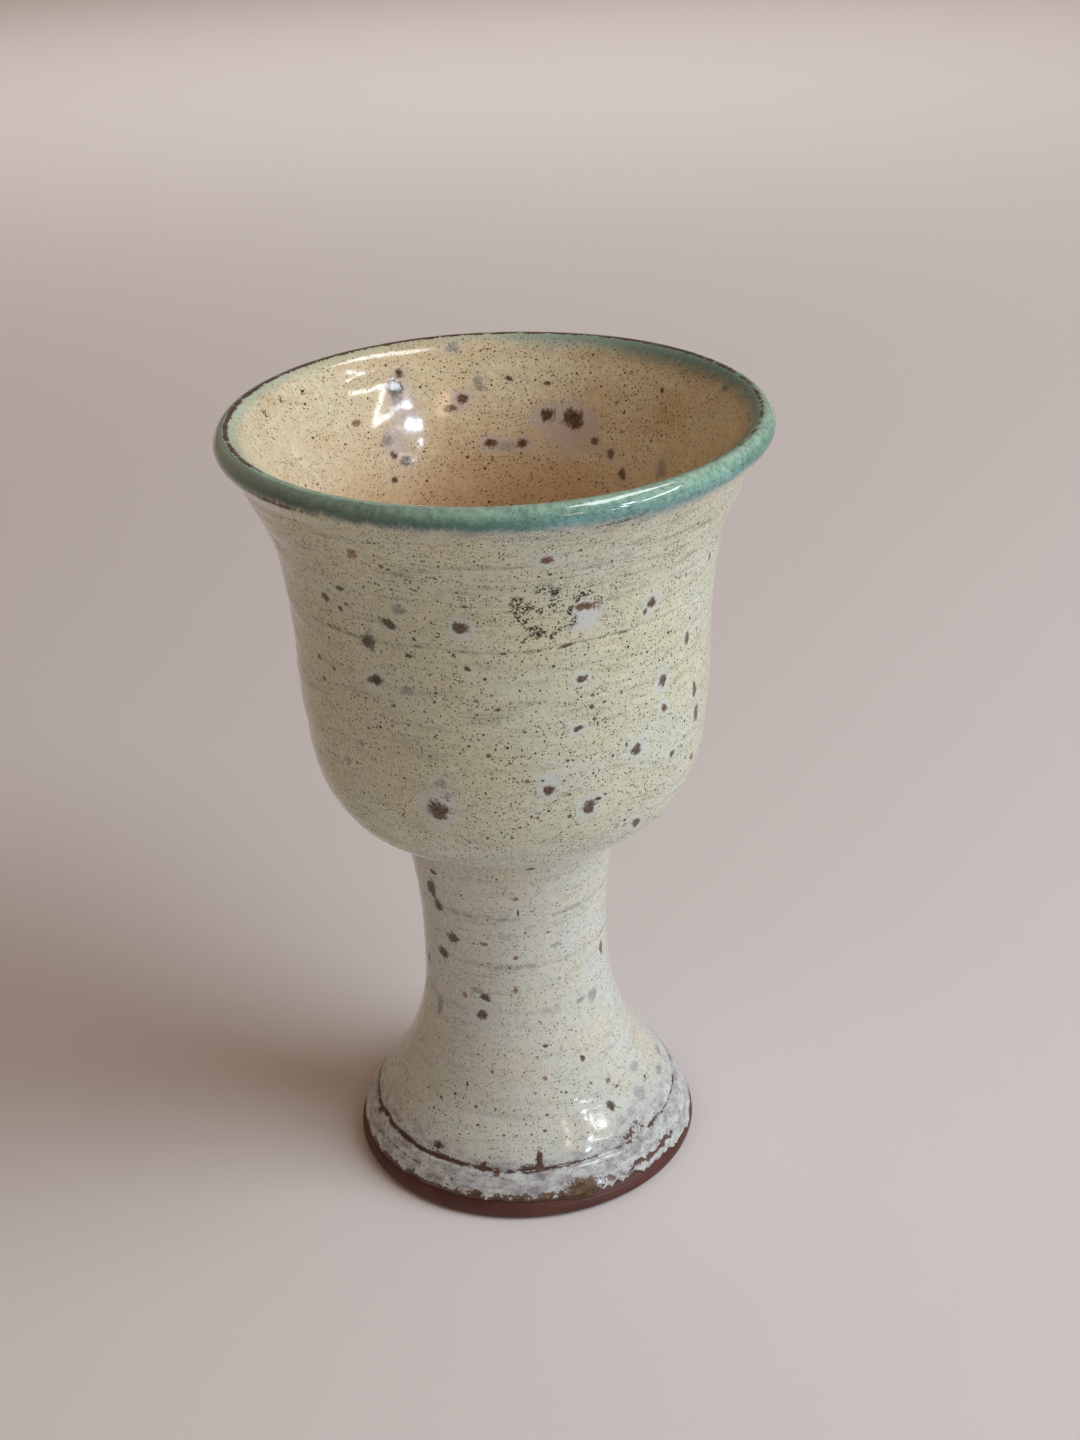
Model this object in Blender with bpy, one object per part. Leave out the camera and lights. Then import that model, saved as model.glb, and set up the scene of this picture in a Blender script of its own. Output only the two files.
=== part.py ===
"""A thrown pottery goblet: a flared cup on a hollow pedestal, with its coats of glaze.

Lengths are in metres and +Z is up. The goblet stands on the origin. Each clay piece is turned about the Z axis from
one smooth outline, and each coat of glaze is laid over that same outline, so it follows every change of the form.
"""

import math

import bmesh
import bpy
import numpy as np

MM = 0.001

# Pedestal clay: radius and height above the table, from the foot up to the joint
TOE_RADIUS = 36.0 * MM
FOOT_RADIUS = 36.5 * MM
FOOT_HEIGHT = 1.4 * MM
FOOT_TUCK_RADIUS = 35.1 * MM
FOOT_TUCK_HEIGHT = 4.2 * MM
SHOULDER_RADIUS = 33.2 * MM
SHOULDER_HEIGHT = 7.4 * MM
LEDGE_RADIUS = 31.2 * MM
LEDGE_HEIGHT = 11.0 * MM
FLARE_RADIUS = 25.7 * MM
FLARE_HEIGHT = 18.5 * MM
THROAT_RADIUS = 20.1 * MM
THROAT_HEIGHT = 32.8 * MM
WAIST_RADIUS = 18.7 * MM
WAIST_HEIGHT = 54.0 * MM
JOINT_RADIUS = 21.0 * MM
PEDESTAL_HEIGHT = 77.2 * MM
STEM_WALL = 4.8 * MM
FOOT_RING_WIDTH = 5.6 * MM

# Bowl clay, from the joint up to the turn-out: radius, and height above the bowl's own base
UNDERSIDE_RADIUS = 26.2 * MM
UNDERSIDE_HEIGHT = 2.4 * MM
TUCK_RADIUS = 33.9 * MM
TUCK_HEIGHT = 7.2 * MM
HAUNCH_RADIUS = 37.4 * MM
HAUNCH_HEIGHT = 13.5 * MM
BELLY_RADIUS = 39.8 * MM
BELLY_HEIGHT = 27.7 * MM
NECK_RADIUS = 41.0 * MM
NECK_HEIGHT = 51.4 * MM
TURN_OUT_RADIUS = 43.0 * MM
BOWL_HEIGHT = 85.4 * MM

# Bowl clay under the lip: how far each place lies inside the lip's widest radius and below the crest
LIP_RADIUS = 52.4 * MM
LIP_DROP = 1.3 * MM
CREST_INSET = 1.1 * MM
UNDER_LIP_INSET = 2.7 * MM
UNDER_LIP_DROP = 5.5 * MM
FLARING_INSET = 5.1 * MM
FLARING_DROP = 10.1 * MM
TURN_OUT_DROP = 20.8 * MM

# Bowl clay: thickness of its wall and floor
LIP_THICKNESS = 3.0 * MM
BOWL_WALL = 4.2 * MM
HAUNCH_WALL = 5.2 * MM
FLOOR_THICKNESS = 7.0 * MM
FLOOR_RADIUS = 15.0 * MM

# Slip that joins the two: its layer and the bead that it squeezes out
SLIP_THICKNESS = 0.8 * MM
BEAD_RISE = 0.9 * MM

# Coats of glaze, and where each one ends
GLAZE_THICKNESS = 0.6 * MM
RIM_GLAZE_THICKNESS = 0.7 * MM
SEAT_GAP = 0.3 * MM
JOINT_MARGIN = 1.3 * MM
RIM_BAND_OUTSIDE = 2.6 * MM
RIM_BAND_INSIDE = 3.6 * MM
BARE_FOOT_HEIGHT = 4.0 * MM
ROLL_RISE = 0.25 * MM
ROLL_WIDTH = 1.1 * MM
RUN_REACH = 9.0 * MM

# Waves of the glaze's lower edge: how many round the foot, how far down, and where the first one lies
GLAZE_RUNS = ((2, 0.45 * MM, 0.6), (5, 0.35 * MM, 2.1), (9, 0.30 * MM, 4.0))

# Lines cut by the potter's tool: height on the piece, half width and depth
BOWL_LINE = (55.2 * MM, 0.7 * MM, 0.35 * MM)
FOOT_LINE = (9.6 * MM, 0.8 * MM, 0.6 * MM)

# How finely the outlines are divided
TURN_STEPS = 36
LONGEST_SPAN = 15.0 * MM
SHARPEST_BEND = math.radians(22)
WELD = 0.001 * MM

# Colours, roughness and metallic value of each material
RED_STONEWARE = ((0.105, 0.036, 0.024, 1.0), 0.62, 0.0)
DRIED_SLIP = ((0.30, 0.21, 0.15, 1.0), 0.7, 0.0)
OATMEAL_GLAZE = ((0.58, 0.55, 0.42, 1.0), 0.26, 0.0)
HONEY_GLAZE = ((0.56, 0.43, 0.25, 1.0), 0.22, 0.0)
COPPER_GREEN_GLAZE = ((0.13, 0.27, 0.20, 1.0), 0.2, 0.0)
PALE_GLAZE = ((0.57, 0.56, 0.48, 1.0), 0.24, 0.0)


class Outline:
    """A smooth curve through stations of radius and height, walked with the clay on its left."""

    def __init__(self, stations, line=None):
        self.points = np.array(stations)
        strides = np.linalg.norm(np.diff(self.points, axis=0), axis=1)
        self.knots = np.concatenate(([0.0], np.cumsum(strides)))
        self.slopes = np.gradient(self.points, self.knots, axis=0)
        self.length = self.knots[-1]
        self.line = None
        if line:
            height, half_width, depth = line
            self.line = (self.reach(height), half_width, depth)

    def curve(self, along):
        """Return the point of the bare curve at this length along it."""
        span = int(np.clip(np.searchsorted(self.knots, along, side="right") - 1, 0, len(self.knots) - 2))
        stride = self.knots[span + 1] - self.knots[span]
        u = (along - self.knots[span]) / stride
        start = (2 * u**3 - 3 * u**2 + 1) * self.points[span]
        leave = (u**3 - 2 * u**2 + u) * stride * self.slopes[span]
        end = (3 * u**2 - 2 * u**3) * self.points[span + 1]
        arrive = (u**3 - u**2) * stride * self.slopes[span + 1]
        return start + leave + end + arrive

    def normal(self, along):
        """Return the unit normal that points out of the clay."""
        before = self.curve(max(along - 0.1 * MM, 0.0))
        after = self.curve(min(along + 0.1 * MM, self.length))
        radius_step, height_step = after - before
        return np.array((height_step, -radius_step)) / math.hypot(radius_step, height_step)

    def lifted(self, along, lift=0.0):
        """Return the point at this length, raised off the clay, with the potter's line cut in."""
        if self.line:
            middle, half_width, depth = self.line
            lift -= depth * math.exp(-(((along - middle) / half_width) ** 2))
        return self.curve(along) + lift * self.normal(along)

    def reach(self, height, start=0.0):
        """Return the first length past start at which the curve crosses this height."""
        lengths = np.linspace(start, self.length, 2000)
        above = np.array([self.curve(along)[1] > height for along in lengths])
        crossing = int(np.argmax(above != above[0]))
        return float(lengths[crossing])

    def stops(self, start, end):
        """Return lengths from start to end, closer together where the curve bends and across the cut line."""
        lengths = np.linspace(start, end, 300)
        normals = np.array([self.normal(along) for along in lengths])
        headings = np.unwrap(np.arctan2(normals[:, 1], normals[:, 0]))
        shares = np.diff(lengths) / LONGEST_SPAN + np.abs(np.diff(headings)) / SHARPEST_BEND
        total = np.concatenate(([0.0], np.cumsum(shares)))
        count = max(1, math.ceil(total[-1]))
        chosen = list(np.interp(np.linspace(0.0, total[-1], count + 1), total, lengths))
        if self.line and start < self.line[0] < end:
            middle, half_width, _ = self.line
            reach = 2.4 * half_width
            chosen = [along for along in chosen if abs(along - middle) > 1.5 * reach or along in (start, end)]
            chosen += [middle - reach, middle, middle + reach]
        return sorted(chosen)


def new_material(name, finish):
    """Make a Principled material from a finish of colour, roughness and metallic value."""
    colour, roughness, metallic = finish
    material = bpy.data.materials.new(name)
    material.use_nodes = True
    shader = material.node_tree.nodes["Principled BSDF"]
    shader.inputs["Base Color"].default_value = colour
    shader.inputs["Roughness"].default_value = roughness
    shader.inputs["Metallic"].default_value = metallic
    material.diffuse_color = colour
    return material


def finish_object(name, bm, finish):
    """Turn the mesh under work into a smooth-shaded object with its own material."""
    bmesh.ops.recalc_face_normals(bm, faces=bm.faces)
    mesh = bpy.data.meshes.new(name)
    bm.to_mesh(mesh)
    bm.free()
    mesh.shade_smooth()
    mesh.set_sharp_from_angle(angle=math.radians(40))
    mesh.materials.append(new_material(name, finish))
    piece = bpy.data.objects.new(name, mesh)
    bpy.context.collection.objects.link(piece)
    return piece


def turn(bm, profile, closed):
    """Spin a profile of radii and heights once round the Z axis."""
    verts = [bm.verts.new((radius, 0.0, height)) for radius, height in profile]
    edges = [bm.edges.new(pair) for pair in zip(verts, verts[1:])]
    if closed:
        edges.append(bm.edges.new((verts[-1], verts[0])))
    bmesh.ops.spin(
        bm,
        geom=verts + edges,
        cent=(0.0, 0.0, 0.0),
        axis=(0.0, 0.0, 1.0),
        angle=math.tau,
        steps=TURN_STEPS,
        use_merge=True,
    )
    bmesh.ops.remove_doubles(bm, verts=bm.verts, dist=WELD)


def turned_piece(name, profile, finish, closed=True):
    """Make a solid of revolution from its profile."""
    bm = bmesh.new()
    turn(bm, profile, closed)
    return finish_object(name, bm, finish)


def coat_profile(outline, lengths, thickness):
    """Return the loop of a coat of glaze: its seat over the clay, and its outer face with eased ends."""
    seat = [outline.lifted(along, SEAT_GAP) for along in lengths]
    ease = thickness / 2
    outer_lengths = [lengths[0] + ease, *lengths[1:-1], lengths[-1] - ease]
    face = [outline.lifted(along, SEAT_GAP + thickness) for along in outer_lengths]
    return seat + face[::-1]


def pedestal_outline():
    """Return the outside of the stem and foot, from the table up to the joint."""
    stations = (
        (TOE_RADIUS, 0.0),
        (FOOT_RADIUS, FOOT_HEIGHT),
        (FOOT_TUCK_RADIUS, FOOT_TUCK_HEIGHT),
        (SHOULDER_RADIUS, SHOULDER_HEIGHT),
        (LEDGE_RADIUS, LEDGE_HEIGHT),
        (FLARE_RADIUS, FLARE_HEIGHT),
        (THROAT_RADIUS, THROAT_HEIGHT),
        (WAIST_RADIUS, WAIST_HEIGHT),
        (JOINT_RADIUS, PEDESTAL_HEIGHT),
    )
    return Outline(stations, FOOT_LINE)


def make_pedestal(outline):
    """Make the hollow stem and foot: the outside, a flat ring to stand on and an even inner wall."""
    outside = [outline.lifted(along) for along in outline.stops(0.0, outline.length)]
    inner_stations = [(TOE_RADIUS - FOOT_RING_WIDTH, 0.0)]
    for height in (LEDGE_HEIGHT, FLARE_HEIGHT, THROAT_HEIGHT, WAIST_HEIGHT):
        inner_stations.append(outline.lifted(outline.reach(height), -STEM_WALL))
    inner_stations.append((JOINT_RADIUS - STEM_WALL, PEDESTAL_HEIGHT))
    bore = Outline(inner_stations)
    inside = [bore.curve(along) for along in bore.stops(0.0, bore.length)]
    return turned_piece("pedestal", outside + inside[::-1], RED_STONEWARE)


def joint_levels():
    """Return the heights of the slip's two faces and of the bowl's base above it."""
    slip_bottom = PEDESTAL_HEIGHT + SEAT_GAP
    slip_top = slip_bottom + SLIP_THICKNESS
    return slip_bottom, slip_top, slip_top + SEAT_GAP


def make_joining_slip():
    """Make the ring of slip between stem and bowl, with its round squeezed-out bead."""
    slip_bottom, slip_top, _ = joint_levels()
    bore_radius = JOINT_RADIUS - STEM_WALL + SEAT_GAP
    middle = (slip_bottom + slip_top) / 2
    profile = [(bore_radius, slip_bottom)]
    for turn_angle in np.linspace(-math.pi / 2, math.pi / 2, 5):
        radius = JOINT_RADIUS + BEAD_RISE * (math.cos(turn_angle))
        profile.append((radius, middle + SLIP_THICKNESS / 2 * math.sin(turn_angle)))
    profile.append((bore_radius, slip_top))
    return turned_piece("joining_slip", profile, DRIED_SLIP)


def bowl_outline():
    """Return the bowl's whole section: up its outside, over the lip and down inside to the middle."""
    base = joint_levels()[2]
    top = base + BOWL_HEIGHT
    outside = (
        (JOINT_RADIUS, base),
        (UNDERSIDE_RADIUS, base + UNDERSIDE_HEIGHT),
        (TUCK_RADIUS, base + TUCK_HEIGHT),
        (HAUNCH_RADIUS, base + HAUNCH_HEIGHT),
        (BELLY_RADIUS, base + BELLY_HEIGHT),
        (NECK_RADIUS, base + NECK_HEIGHT),
        (TURN_OUT_RADIUS, top - TURN_OUT_DROP),
        (LIP_RADIUS - FLARING_INSET, top - FLARING_DROP),
        (LIP_RADIUS - UNDER_LIP_INSET, top - UNDER_LIP_DROP),
        (LIP_RADIUS, top - LIP_DROP),
    )
    outer = Outline(outside)
    walls = (
        (top - UNDER_LIP_DROP, LIP_THICKNESS),
        (top - FLARING_DROP, LIP_THICKNESS),
        (base + NECK_HEIGHT, BOWL_WALL),
        (base + BELLY_HEIGHT, BOWL_WALL),
        (base + HAUNCH_HEIGHT, HAUNCH_WALL),
    )
    inside = [outer.lifted(outer.reach(height), -wall) for height, wall in walls]
    crest = (LIP_RADIUS - CREST_INSET, top)
    lip_inner = (LIP_RADIUS - LIP_THICKNESS, top - LIP_DROP / 2)
    floor = ((FLOOR_RADIUS, base + FLOOR_THICKNESS), (0.0, base + FLOOR_THICKNESS))
    height, half_width, depth = BOWL_LINE
    return Outline((*outside, crest, lip_inner, *inside, *floor), (base + height, half_width, depth))


def bowl_marks(outline):
    """Return the lengths at which the rim's band begins, the crest lies and the band ends inside."""
    top = joint_levels()[2] + BOWL_HEIGHT
    crest = float(outline.knots[np.argmax(outline.points[:, 1])])
    band_start = outline.reach(top - RIM_BAND_OUTSIDE)
    band_end = outline.reach(top - RIM_BAND_INSIDE, crest)
    return band_start, crest, band_end


def bowl_lengths(outline):
    """Return the divisions of the bowl's outside, its lip and its inside."""
    band_start, _, band_end = bowl_marks(outline)
    outside = outline.stops(0.0, band_start)
    lip = outline.stops(band_start, band_end)
    inside = outline.stops(band_end, outline.length)
    return outside, lip, inside


def make_bowl(outline):
    """Make the thrown cup, a wall turned in one with its floor and lip."""
    base = joint_levels()[2]
    outside, lip, inside = bowl_lengths(outline)
    lengths = outside + lip[1:] + inside[1:]
    profile = [(0.0, base)] + [outline.lifted(along) for along in lengths]
    profile[-1] = (0.0, profile[-1][1])
    return turned_piece("bowl", profile, RED_STONEWARE, closed=False)


def make_bowl_outer_glaze(outline):
    """Make the oatmeal coat from the joint up to the green band."""
    outside, _, _ = bowl_lengths(outline)
    lengths = [JOINT_MARGIN, *outside[1:-1], outside[-1] - SEAT_GAP]
    return turned_piece("bowl_outer_glaze", coat_profile(outline, lengths, GLAZE_THICKNESS), OATMEAL_GLAZE)


def make_rim_glaze(outline):
    """Make the copper-green band over the lip."""
    _, lip, _ = bowl_lengths(outline)
    return turned_piece("rim_glaze", coat_profile(outline, lip, RIM_GLAZE_THICKNESS), COPPER_GREEN_GLAZE)


def make_liner_glaze(outline):
    """Make the honey coat that lines the bowl, closed over its floor."""
    _, _, inside = bowl_lengths(outline)
    lengths = [inside[0] + SEAT_GAP, *inside[1:]]
    seat = [outline.lifted(along, SEAT_GAP) for along in lengths]
    face = [outline.lifted(along, SEAT_GAP + GLAZE_THICKNESS) for along in lengths]
    seat[-1][0] = 0.0
    face[-1][0] = 0.0
    profile = seat[::-1] + face
    return turned_piece("bowl_liner_glaze", profile, HONEY_GLAZE, closed=False)


def run_down(angle):
    """Return how far the glaze has run below its even edge, at this angle round the foot."""
    return sum(depth * math.cos(count * angle + phase) for count, depth, phase in GLAZE_RUNS)


def make_pedestal_glaze(outline):
    """Make the coat of stem and foot, whose lower edge ran down unevenly and drew up into a roll."""
    edge = outline.reach(BARE_FOOT_HEIGHT)
    lengths = outline.stops(edge, outline.length)
    lengths[-1] -= SEAT_GAP
    roll_crest = edge + ROLL_WIDTH
    lengths.insert(1, roll_crest)
    seat = [(along, SEAT_GAP) for along in lengths]
    face = [(along, SEAT_GAP + GLAZE_THICKNESS) for along in lengths]
    bm = bmesh.new()
    along_layer = bm.verts.layers.float.new("along")
    lift_layer = bm.verts.layers.float.new("lift")
    loop = seat + face[::-1]
    turn(bm, [outline.lifted(along, lift) for along, lift in loop], True)
    nearest = [(np.array(outline.lifted(along, lift)), along, lift) for along, lift in loop]
    for vert in bm.verts:
        place = np.array((math.hypot(vert.co.x, vert.co.y), vert.co.z))
        _, vert[along_layer], vert[lift_layer] = min(nearest, key=lambda row: float(np.sum((row[0] - place) ** 2)))
    for vert in bm.verts:
        along = vert[along_layer]
        lift = vert[lift_layer]
        angle = math.atan2(vert.co.y, vert.co.x)
        share = max(0.0, 1.0 - (along - edge) / RUN_REACH)
        moved = along - share * run_down(angle)
        if lift > SEAT_GAP * 1.5:
            lift += ROLL_RISE * math.exp(-(((along - roll_crest) / ROLL_WIDTH) ** 2))
            if along < edge + WELD:
                moved += GLAZE_THICKNESS / 2
        radius, height = outline.lifted(moved, lift)
        vert.co = (radius * math.cos(angle), radius * math.sin(angle), height)
    return finish_object("pedestal_glaze", bm, PALE_GLAZE)


def clear_scene():
    """Remove whatever the file holds."""
    for piece in list(bpy.data.objects):
        bpy.data.objects.remove(piece, do_unlink=True)


def main():
    """Build the goblet."""
    clear_scene()
    pedestal = pedestal_outline()
    bowl = bowl_outline()
    make_pedestal(pedestal)
    make_joining_slip()
    make_bowl(bowl)
    make_bowl_outer_glaze(bowl)
    make_rim_glaze(bowl)
    make_liner_glaze(bowl)
    make_pedestal_glaze(pedestal)


main()
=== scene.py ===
"""Looks of a thrown stoneware goblet: its coats of glaze, its bare foot, and the light that it stands in.

Sizes are in millimetres until a mesh is finished. A bearing is an angle round the pot in degrees: 0 faces the camera
and a positive one turns to the right. Along is a length on the pot's section, and lift is a height off the clay.
"""

import logging
import math
from dataclasses import dataclass
from enum import Enum
from functools import cached_property
from typing import Iterable, Optional, Sequence, Union

import bmesh
import bpy
import numpy as np
from mathutils import Matrix, Vector

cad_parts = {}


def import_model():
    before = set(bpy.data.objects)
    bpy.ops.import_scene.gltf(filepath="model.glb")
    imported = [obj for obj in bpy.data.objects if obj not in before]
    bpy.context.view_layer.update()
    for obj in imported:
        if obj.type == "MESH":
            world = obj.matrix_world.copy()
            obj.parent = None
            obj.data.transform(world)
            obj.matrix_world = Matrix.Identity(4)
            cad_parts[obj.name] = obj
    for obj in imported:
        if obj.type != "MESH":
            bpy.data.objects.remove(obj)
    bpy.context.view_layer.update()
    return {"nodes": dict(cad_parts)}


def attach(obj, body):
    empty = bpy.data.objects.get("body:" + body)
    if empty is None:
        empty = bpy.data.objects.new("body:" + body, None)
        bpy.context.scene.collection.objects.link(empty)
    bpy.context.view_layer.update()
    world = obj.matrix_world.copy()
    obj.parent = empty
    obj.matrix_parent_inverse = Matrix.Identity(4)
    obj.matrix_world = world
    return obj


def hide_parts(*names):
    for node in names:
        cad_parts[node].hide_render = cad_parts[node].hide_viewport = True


LOG = logging.getLogger("goblet")
MM = 0.001
COARSE_TURN = 28
FINE_TURN = 15
SEAT_GAP = 0.3
BACK_PITCH = 4.0
MERGE_DISTANCE = 0.002
SHARP_ANGLE = 62
FAR = 9.0
SPECK_SIZE = 0.8
SPOT_SIZES = (1.2, 2.8)
SPOT_SHAPES = (0.6, 1.1)
SPOT_TILTS = (-30, 30)

Array = np.ndarray
Node = bpy.types.Node
Socket = bpy.types.NodeSocket
Tree = bpy.types.NodeTree
Piece = bpy.types.Object
Feed = Union[Node, Socket, str, float, tuple[float, ...]]
Hues = tuple[tuple[float, str], ...]
Rows = Sequence[tuple[float, float]]

MARK_HUES = (
    (0.0, "#262119"),
    (0.2, "#483820"),
    (0.4, "#5C4327"),
    (0.55, "#66482A"),
    (0.7, "#7B502E"),
    (0.8, "#A07A48"),
    (0.9, "#75736A"),
    (1.0, "#8F8B96"),
)
RIM_HUES = (
    (0.0, "#AED2BB"),
    (0.16, "#A2CCB8"),
    (0.34, "#80B09D"),
    (0.48, "#618F82"),
    (0.56, "#618A82"),
    (0.64, "#7D9A97"),
    (0.76, "#A0ABAD"),
    (1.0, "#A4ADB3"),
)


def linear(hex_colour: str) -> tuple[float, float, float, float]:
    """Turn an sRGB hex colour to a linear one.

    Args:
        hex_colour: The colour as written, such as "#DAD7BE".

    Returns:
        Red, green, blue and full alpha, in linear light.
    """
    channels = [int(hex_colour[place : place + 2], 16) / 255 for place in (1, 3, 5)]
    lit = [c / 12.92 if c <= 0.04045 else ((c + 0.055) / 1.055) ** 2.4 for c in channels]
    return (*lit, 1.0)


def per(size: float) -> float:
    """Return the scale of a texture whose features are this many millimetres wide."""
    return 1 / (size * MM)


def fill(ramp: bpy.types.ColorRamp, hues: Hues) -> None:
    """Give a ramp its colours, the first at 0 and the last at 1."""
    for stop, shade in hues:
        ends = {0.0: 0, 1.0: -1}
        element = ramp.elements[ends[stop]] if stop in ends else ramp.elements.new(stop)
        element.color = linear(shade)


class Board:
    """A tree of nodes under work."""

    def __init__(self, tree: Tree) -> None:
        """Start from an empty tree."""
        self.tree = tree
        tree.nodes.clear()

    def add(self, kind: str, *feeds: Feed, **settings: object) -> Node:
        """Add a node, with its settings and its inputs' values or links.

        Args:
            kind: The node's Blender type, without its prefix.
            *feeds: What goes into its first inputs: a value, a hex colour, a socket, or a node for its first output.
            **settings: Its properties, and further inputs, which are named with a capital.

        Returns:
            The new node.
        """
        node = self.tree.nodes.new(f"ShaderNode{kind}")
        named = {name: settings.pop(name) for name in list(settings) if name[0].isupper()}
        for name, value in settings.items():
            setattr(node, name, value)
        in_use = [socket for socket in node.inputs if socket.enabled]
        pairs = [*zip(in_use, feeds), *((node.inputs[name], value) for name, value in named.items())]
        for socket, value in pairs:
            if isinstance(value, Node):
                value = next(output for output in value.outputs if output.enabled)
            if isinstance(value, Socket):
                self.tree.links.new(value, socket)
            else:
                socket.default_value = linear(value) if isinstance(value, str) else value
        return node


class PotBoard(Board):
    """The nodes of a finish, with the place on the pot and the two noises that its layers share."""

    def __init__(self, tree: Tree, *noises: tuple[float, float, float]) -> None:
        """Add the place and the noises, each given as its size in millimetres, detail and roughness."""
        super().__init__(tree)
        self.place = self.add("TexCoord").outputs["Object"]
        self.fine, self.grain = (
            self.add("TexNoise", self.place, Scale=per(size), Detail=detail, Roughness=roughness)
            for size, detail, roughness in noises
        )

    def fields(self, name: str) -> tuple[Socket, ...]:
        """Read three of the piece's painted fields."""
        painted = self.add("Attribute", attribute_name=name).outputs["Vector"]
        return tuple(self.add("SeparateXYZ", painted).outputs)


def ease(value: Array, low: float, high: float) -> Array:
    """Return a smooth step from 0 at low to 1 at high, which may be the smaller of the two."""
    share = np.clip((np.asarray(value, float) - low) / (high - low), 0.0, 1.0)
    return share * share * (3.0 - 2.0 * share)


def bump(value: Array, middle: float, half_width: float) -> Array:
    """Return a bell curve of height 1 round a middle."""
    return np.exp(-(((np.asarray(value, float) - middle) / half_width) ** 2))


def turned(bearing: Array, middle: float) -> Array:
    """Return how many degrees a bearing lies past a middle one, from -180 to 180."""
    return (np.asarray(bearing, float) - middle + 180.0) % 360.0 - 180.0


def around(bearing: Array, middle: float, half_width: float) -> Array:
    """Return a bell curve of height 1 round a bearing."""
    return bump(turned(bearing, middle), 0.0, half_width)


class Wander:
    """A smooth random field through space with unit variance, summed from plane waves."""

    PACES = (0.6, 1.5)

    def __init__(self, wavelength: float, seed: int, flatten: float = 1.0, waves: int = 26) -> None:
        """Draw the waves.

        Args:
            wavelength: The usual distance between two crests, in millimetres.
            seed: Seed of the draw.
            flatten: How many times faster the field changes with height than round the pot.
            waves: How many plane waves are summed.
        """
        draw = np.random.default_rng(seed)
        heading = draw.normal(size=(waves, 3))
        heading /= np.linalg.norm(heading, axis=1, keepdims=True)
        pace = draw.uniform(*self.PACES, size=(waves, 1)) * math.tau / wavelength
        self.waves = heading * pace * np.array((1.0, 1.0, flatten))
        self.phases = draw.uniform(0.0, math.tau, size=waves)

    def at(self, places: Array) -> Array:
        """Return the field at rows of x, y and z in millimetres."""
        total = np.zeros(len(places))
        for wave, phase in zip(self.waves, self.phases):
            total += np.cos(places @ wave + phase)
        return total * math.sqrt(2.0 / len(self.phases))


class Contour:
    """A smooth section through stations of radius and height, walked with the clay on its left."""

    NUDGE = 0.1
    SAMPLES = 8000

    def __init__(self, stations: Sequence[Sequence[float]]) -> None:
        """Lay the curve through its stations, in millimetres."""
        self.points = np.array(stations, float)
        strides = np.linalg.norm(np.diff(self.points, axis=0), axis=1)
        self.knots = np.concatenate(([0.0], np.cumsum(strides)))
        self.slopes = np.gradient(self.points, self.knots, axis=0)
        self.length = float(self.knots[-1])

    def at(self, along: Array) -> Array:
        """Return rows of radius and height at these lengths."""
        along = np.clip(np.asarray(along, float), 0.0, self.length)
        span = np.clip(np.searchsorted(self.knots, along, side="right") - 1, 0, len(self.knots) - 2)
        stride = (self.knots[span + 1] - self.knots[span])[..., None]
        u = (along - self.knots[span])[..., None] / stride
        start = (2 * u**3 - 3 * u**2 + 1) * self.points[span]
        leave = (u**3 - 2 * u**2 + u) * stride * self.slopes[span]
        end = (3 * u**2 - 2 * u**3) * self.points[span + 1]
        arrive = (u**3 - u**2) * stride * self.slopes[span + 1]
        return start + leave + end + arrive

    def normal(self, along: Array) -> Array:
        """Return rows of the unit normal that points out of the clay."""
        along = np.asarray(along, float)
        step = self.at(along + self.NUDGE) - self.at(along - self.NUDGE)
        outward = np.stack((step[..., 1], -step[..., 0]), axis=-1)
        return outward / np.linalg.norm(outward, axis=-1, keepdims=True)

    def lifted(self, along: Array, lift: Array) -> Array:
        """Return rows of radius and height at these lengths, raised off the clay."""
        return self.at(along) + np.asarray(lift, float)[..., None] * self.normal(along)

    def reach(self, height: float, start: float = 0.0) -> float:
        """Return the first length past start at which the curve crosses a height."""
        lengths = np.linspace(start, self.length, self.SAMPLES)
        above = self.at(lengths)[:, 1] > height
        return float(lengths[int(np.argmax(above != above[0]))])


class MarkKind(Enum):
    """What a spot in the glaze is: strength of its core and of its milky halo, and its place on the colour ramp."""

    IRON = (1.0, 0.9, 0.3)
    DARK = (0.95, 0.3, 0.18)
    BROWN = (1.0, 0.95, 0.5)
    RUST = (0.85, 0.0, 0.68)
    CRYSTAL = (1.0, 0.0, 0.02)
    SMEAR = (0.72, 0.3, 0.9)
    LILAC = (0.5, 0.5, 1.0)
    MILK = (0.0, 1.0, 0.95)
    PIT = (0.95, 0.25, 0.12)
    SPECK = (0.9, 0.0, 0.2)


@dataclass(frozen=True)
class Mark:
    """One spot in the glaze.

    Args:
        height: Height above the table.
        bearing: Bearing of its middle, in degrees.
        width: Size round the pot.
        length: Size up the wall.
        kind: What it is.
        tilt: Turn of its long side in degrees, rising to the right.
    """

    height: float
    bearing: float
    width: float
    length: float
    kind: MarkKind = MarkKind.SPECK
    tilt: float = 0.0


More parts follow.
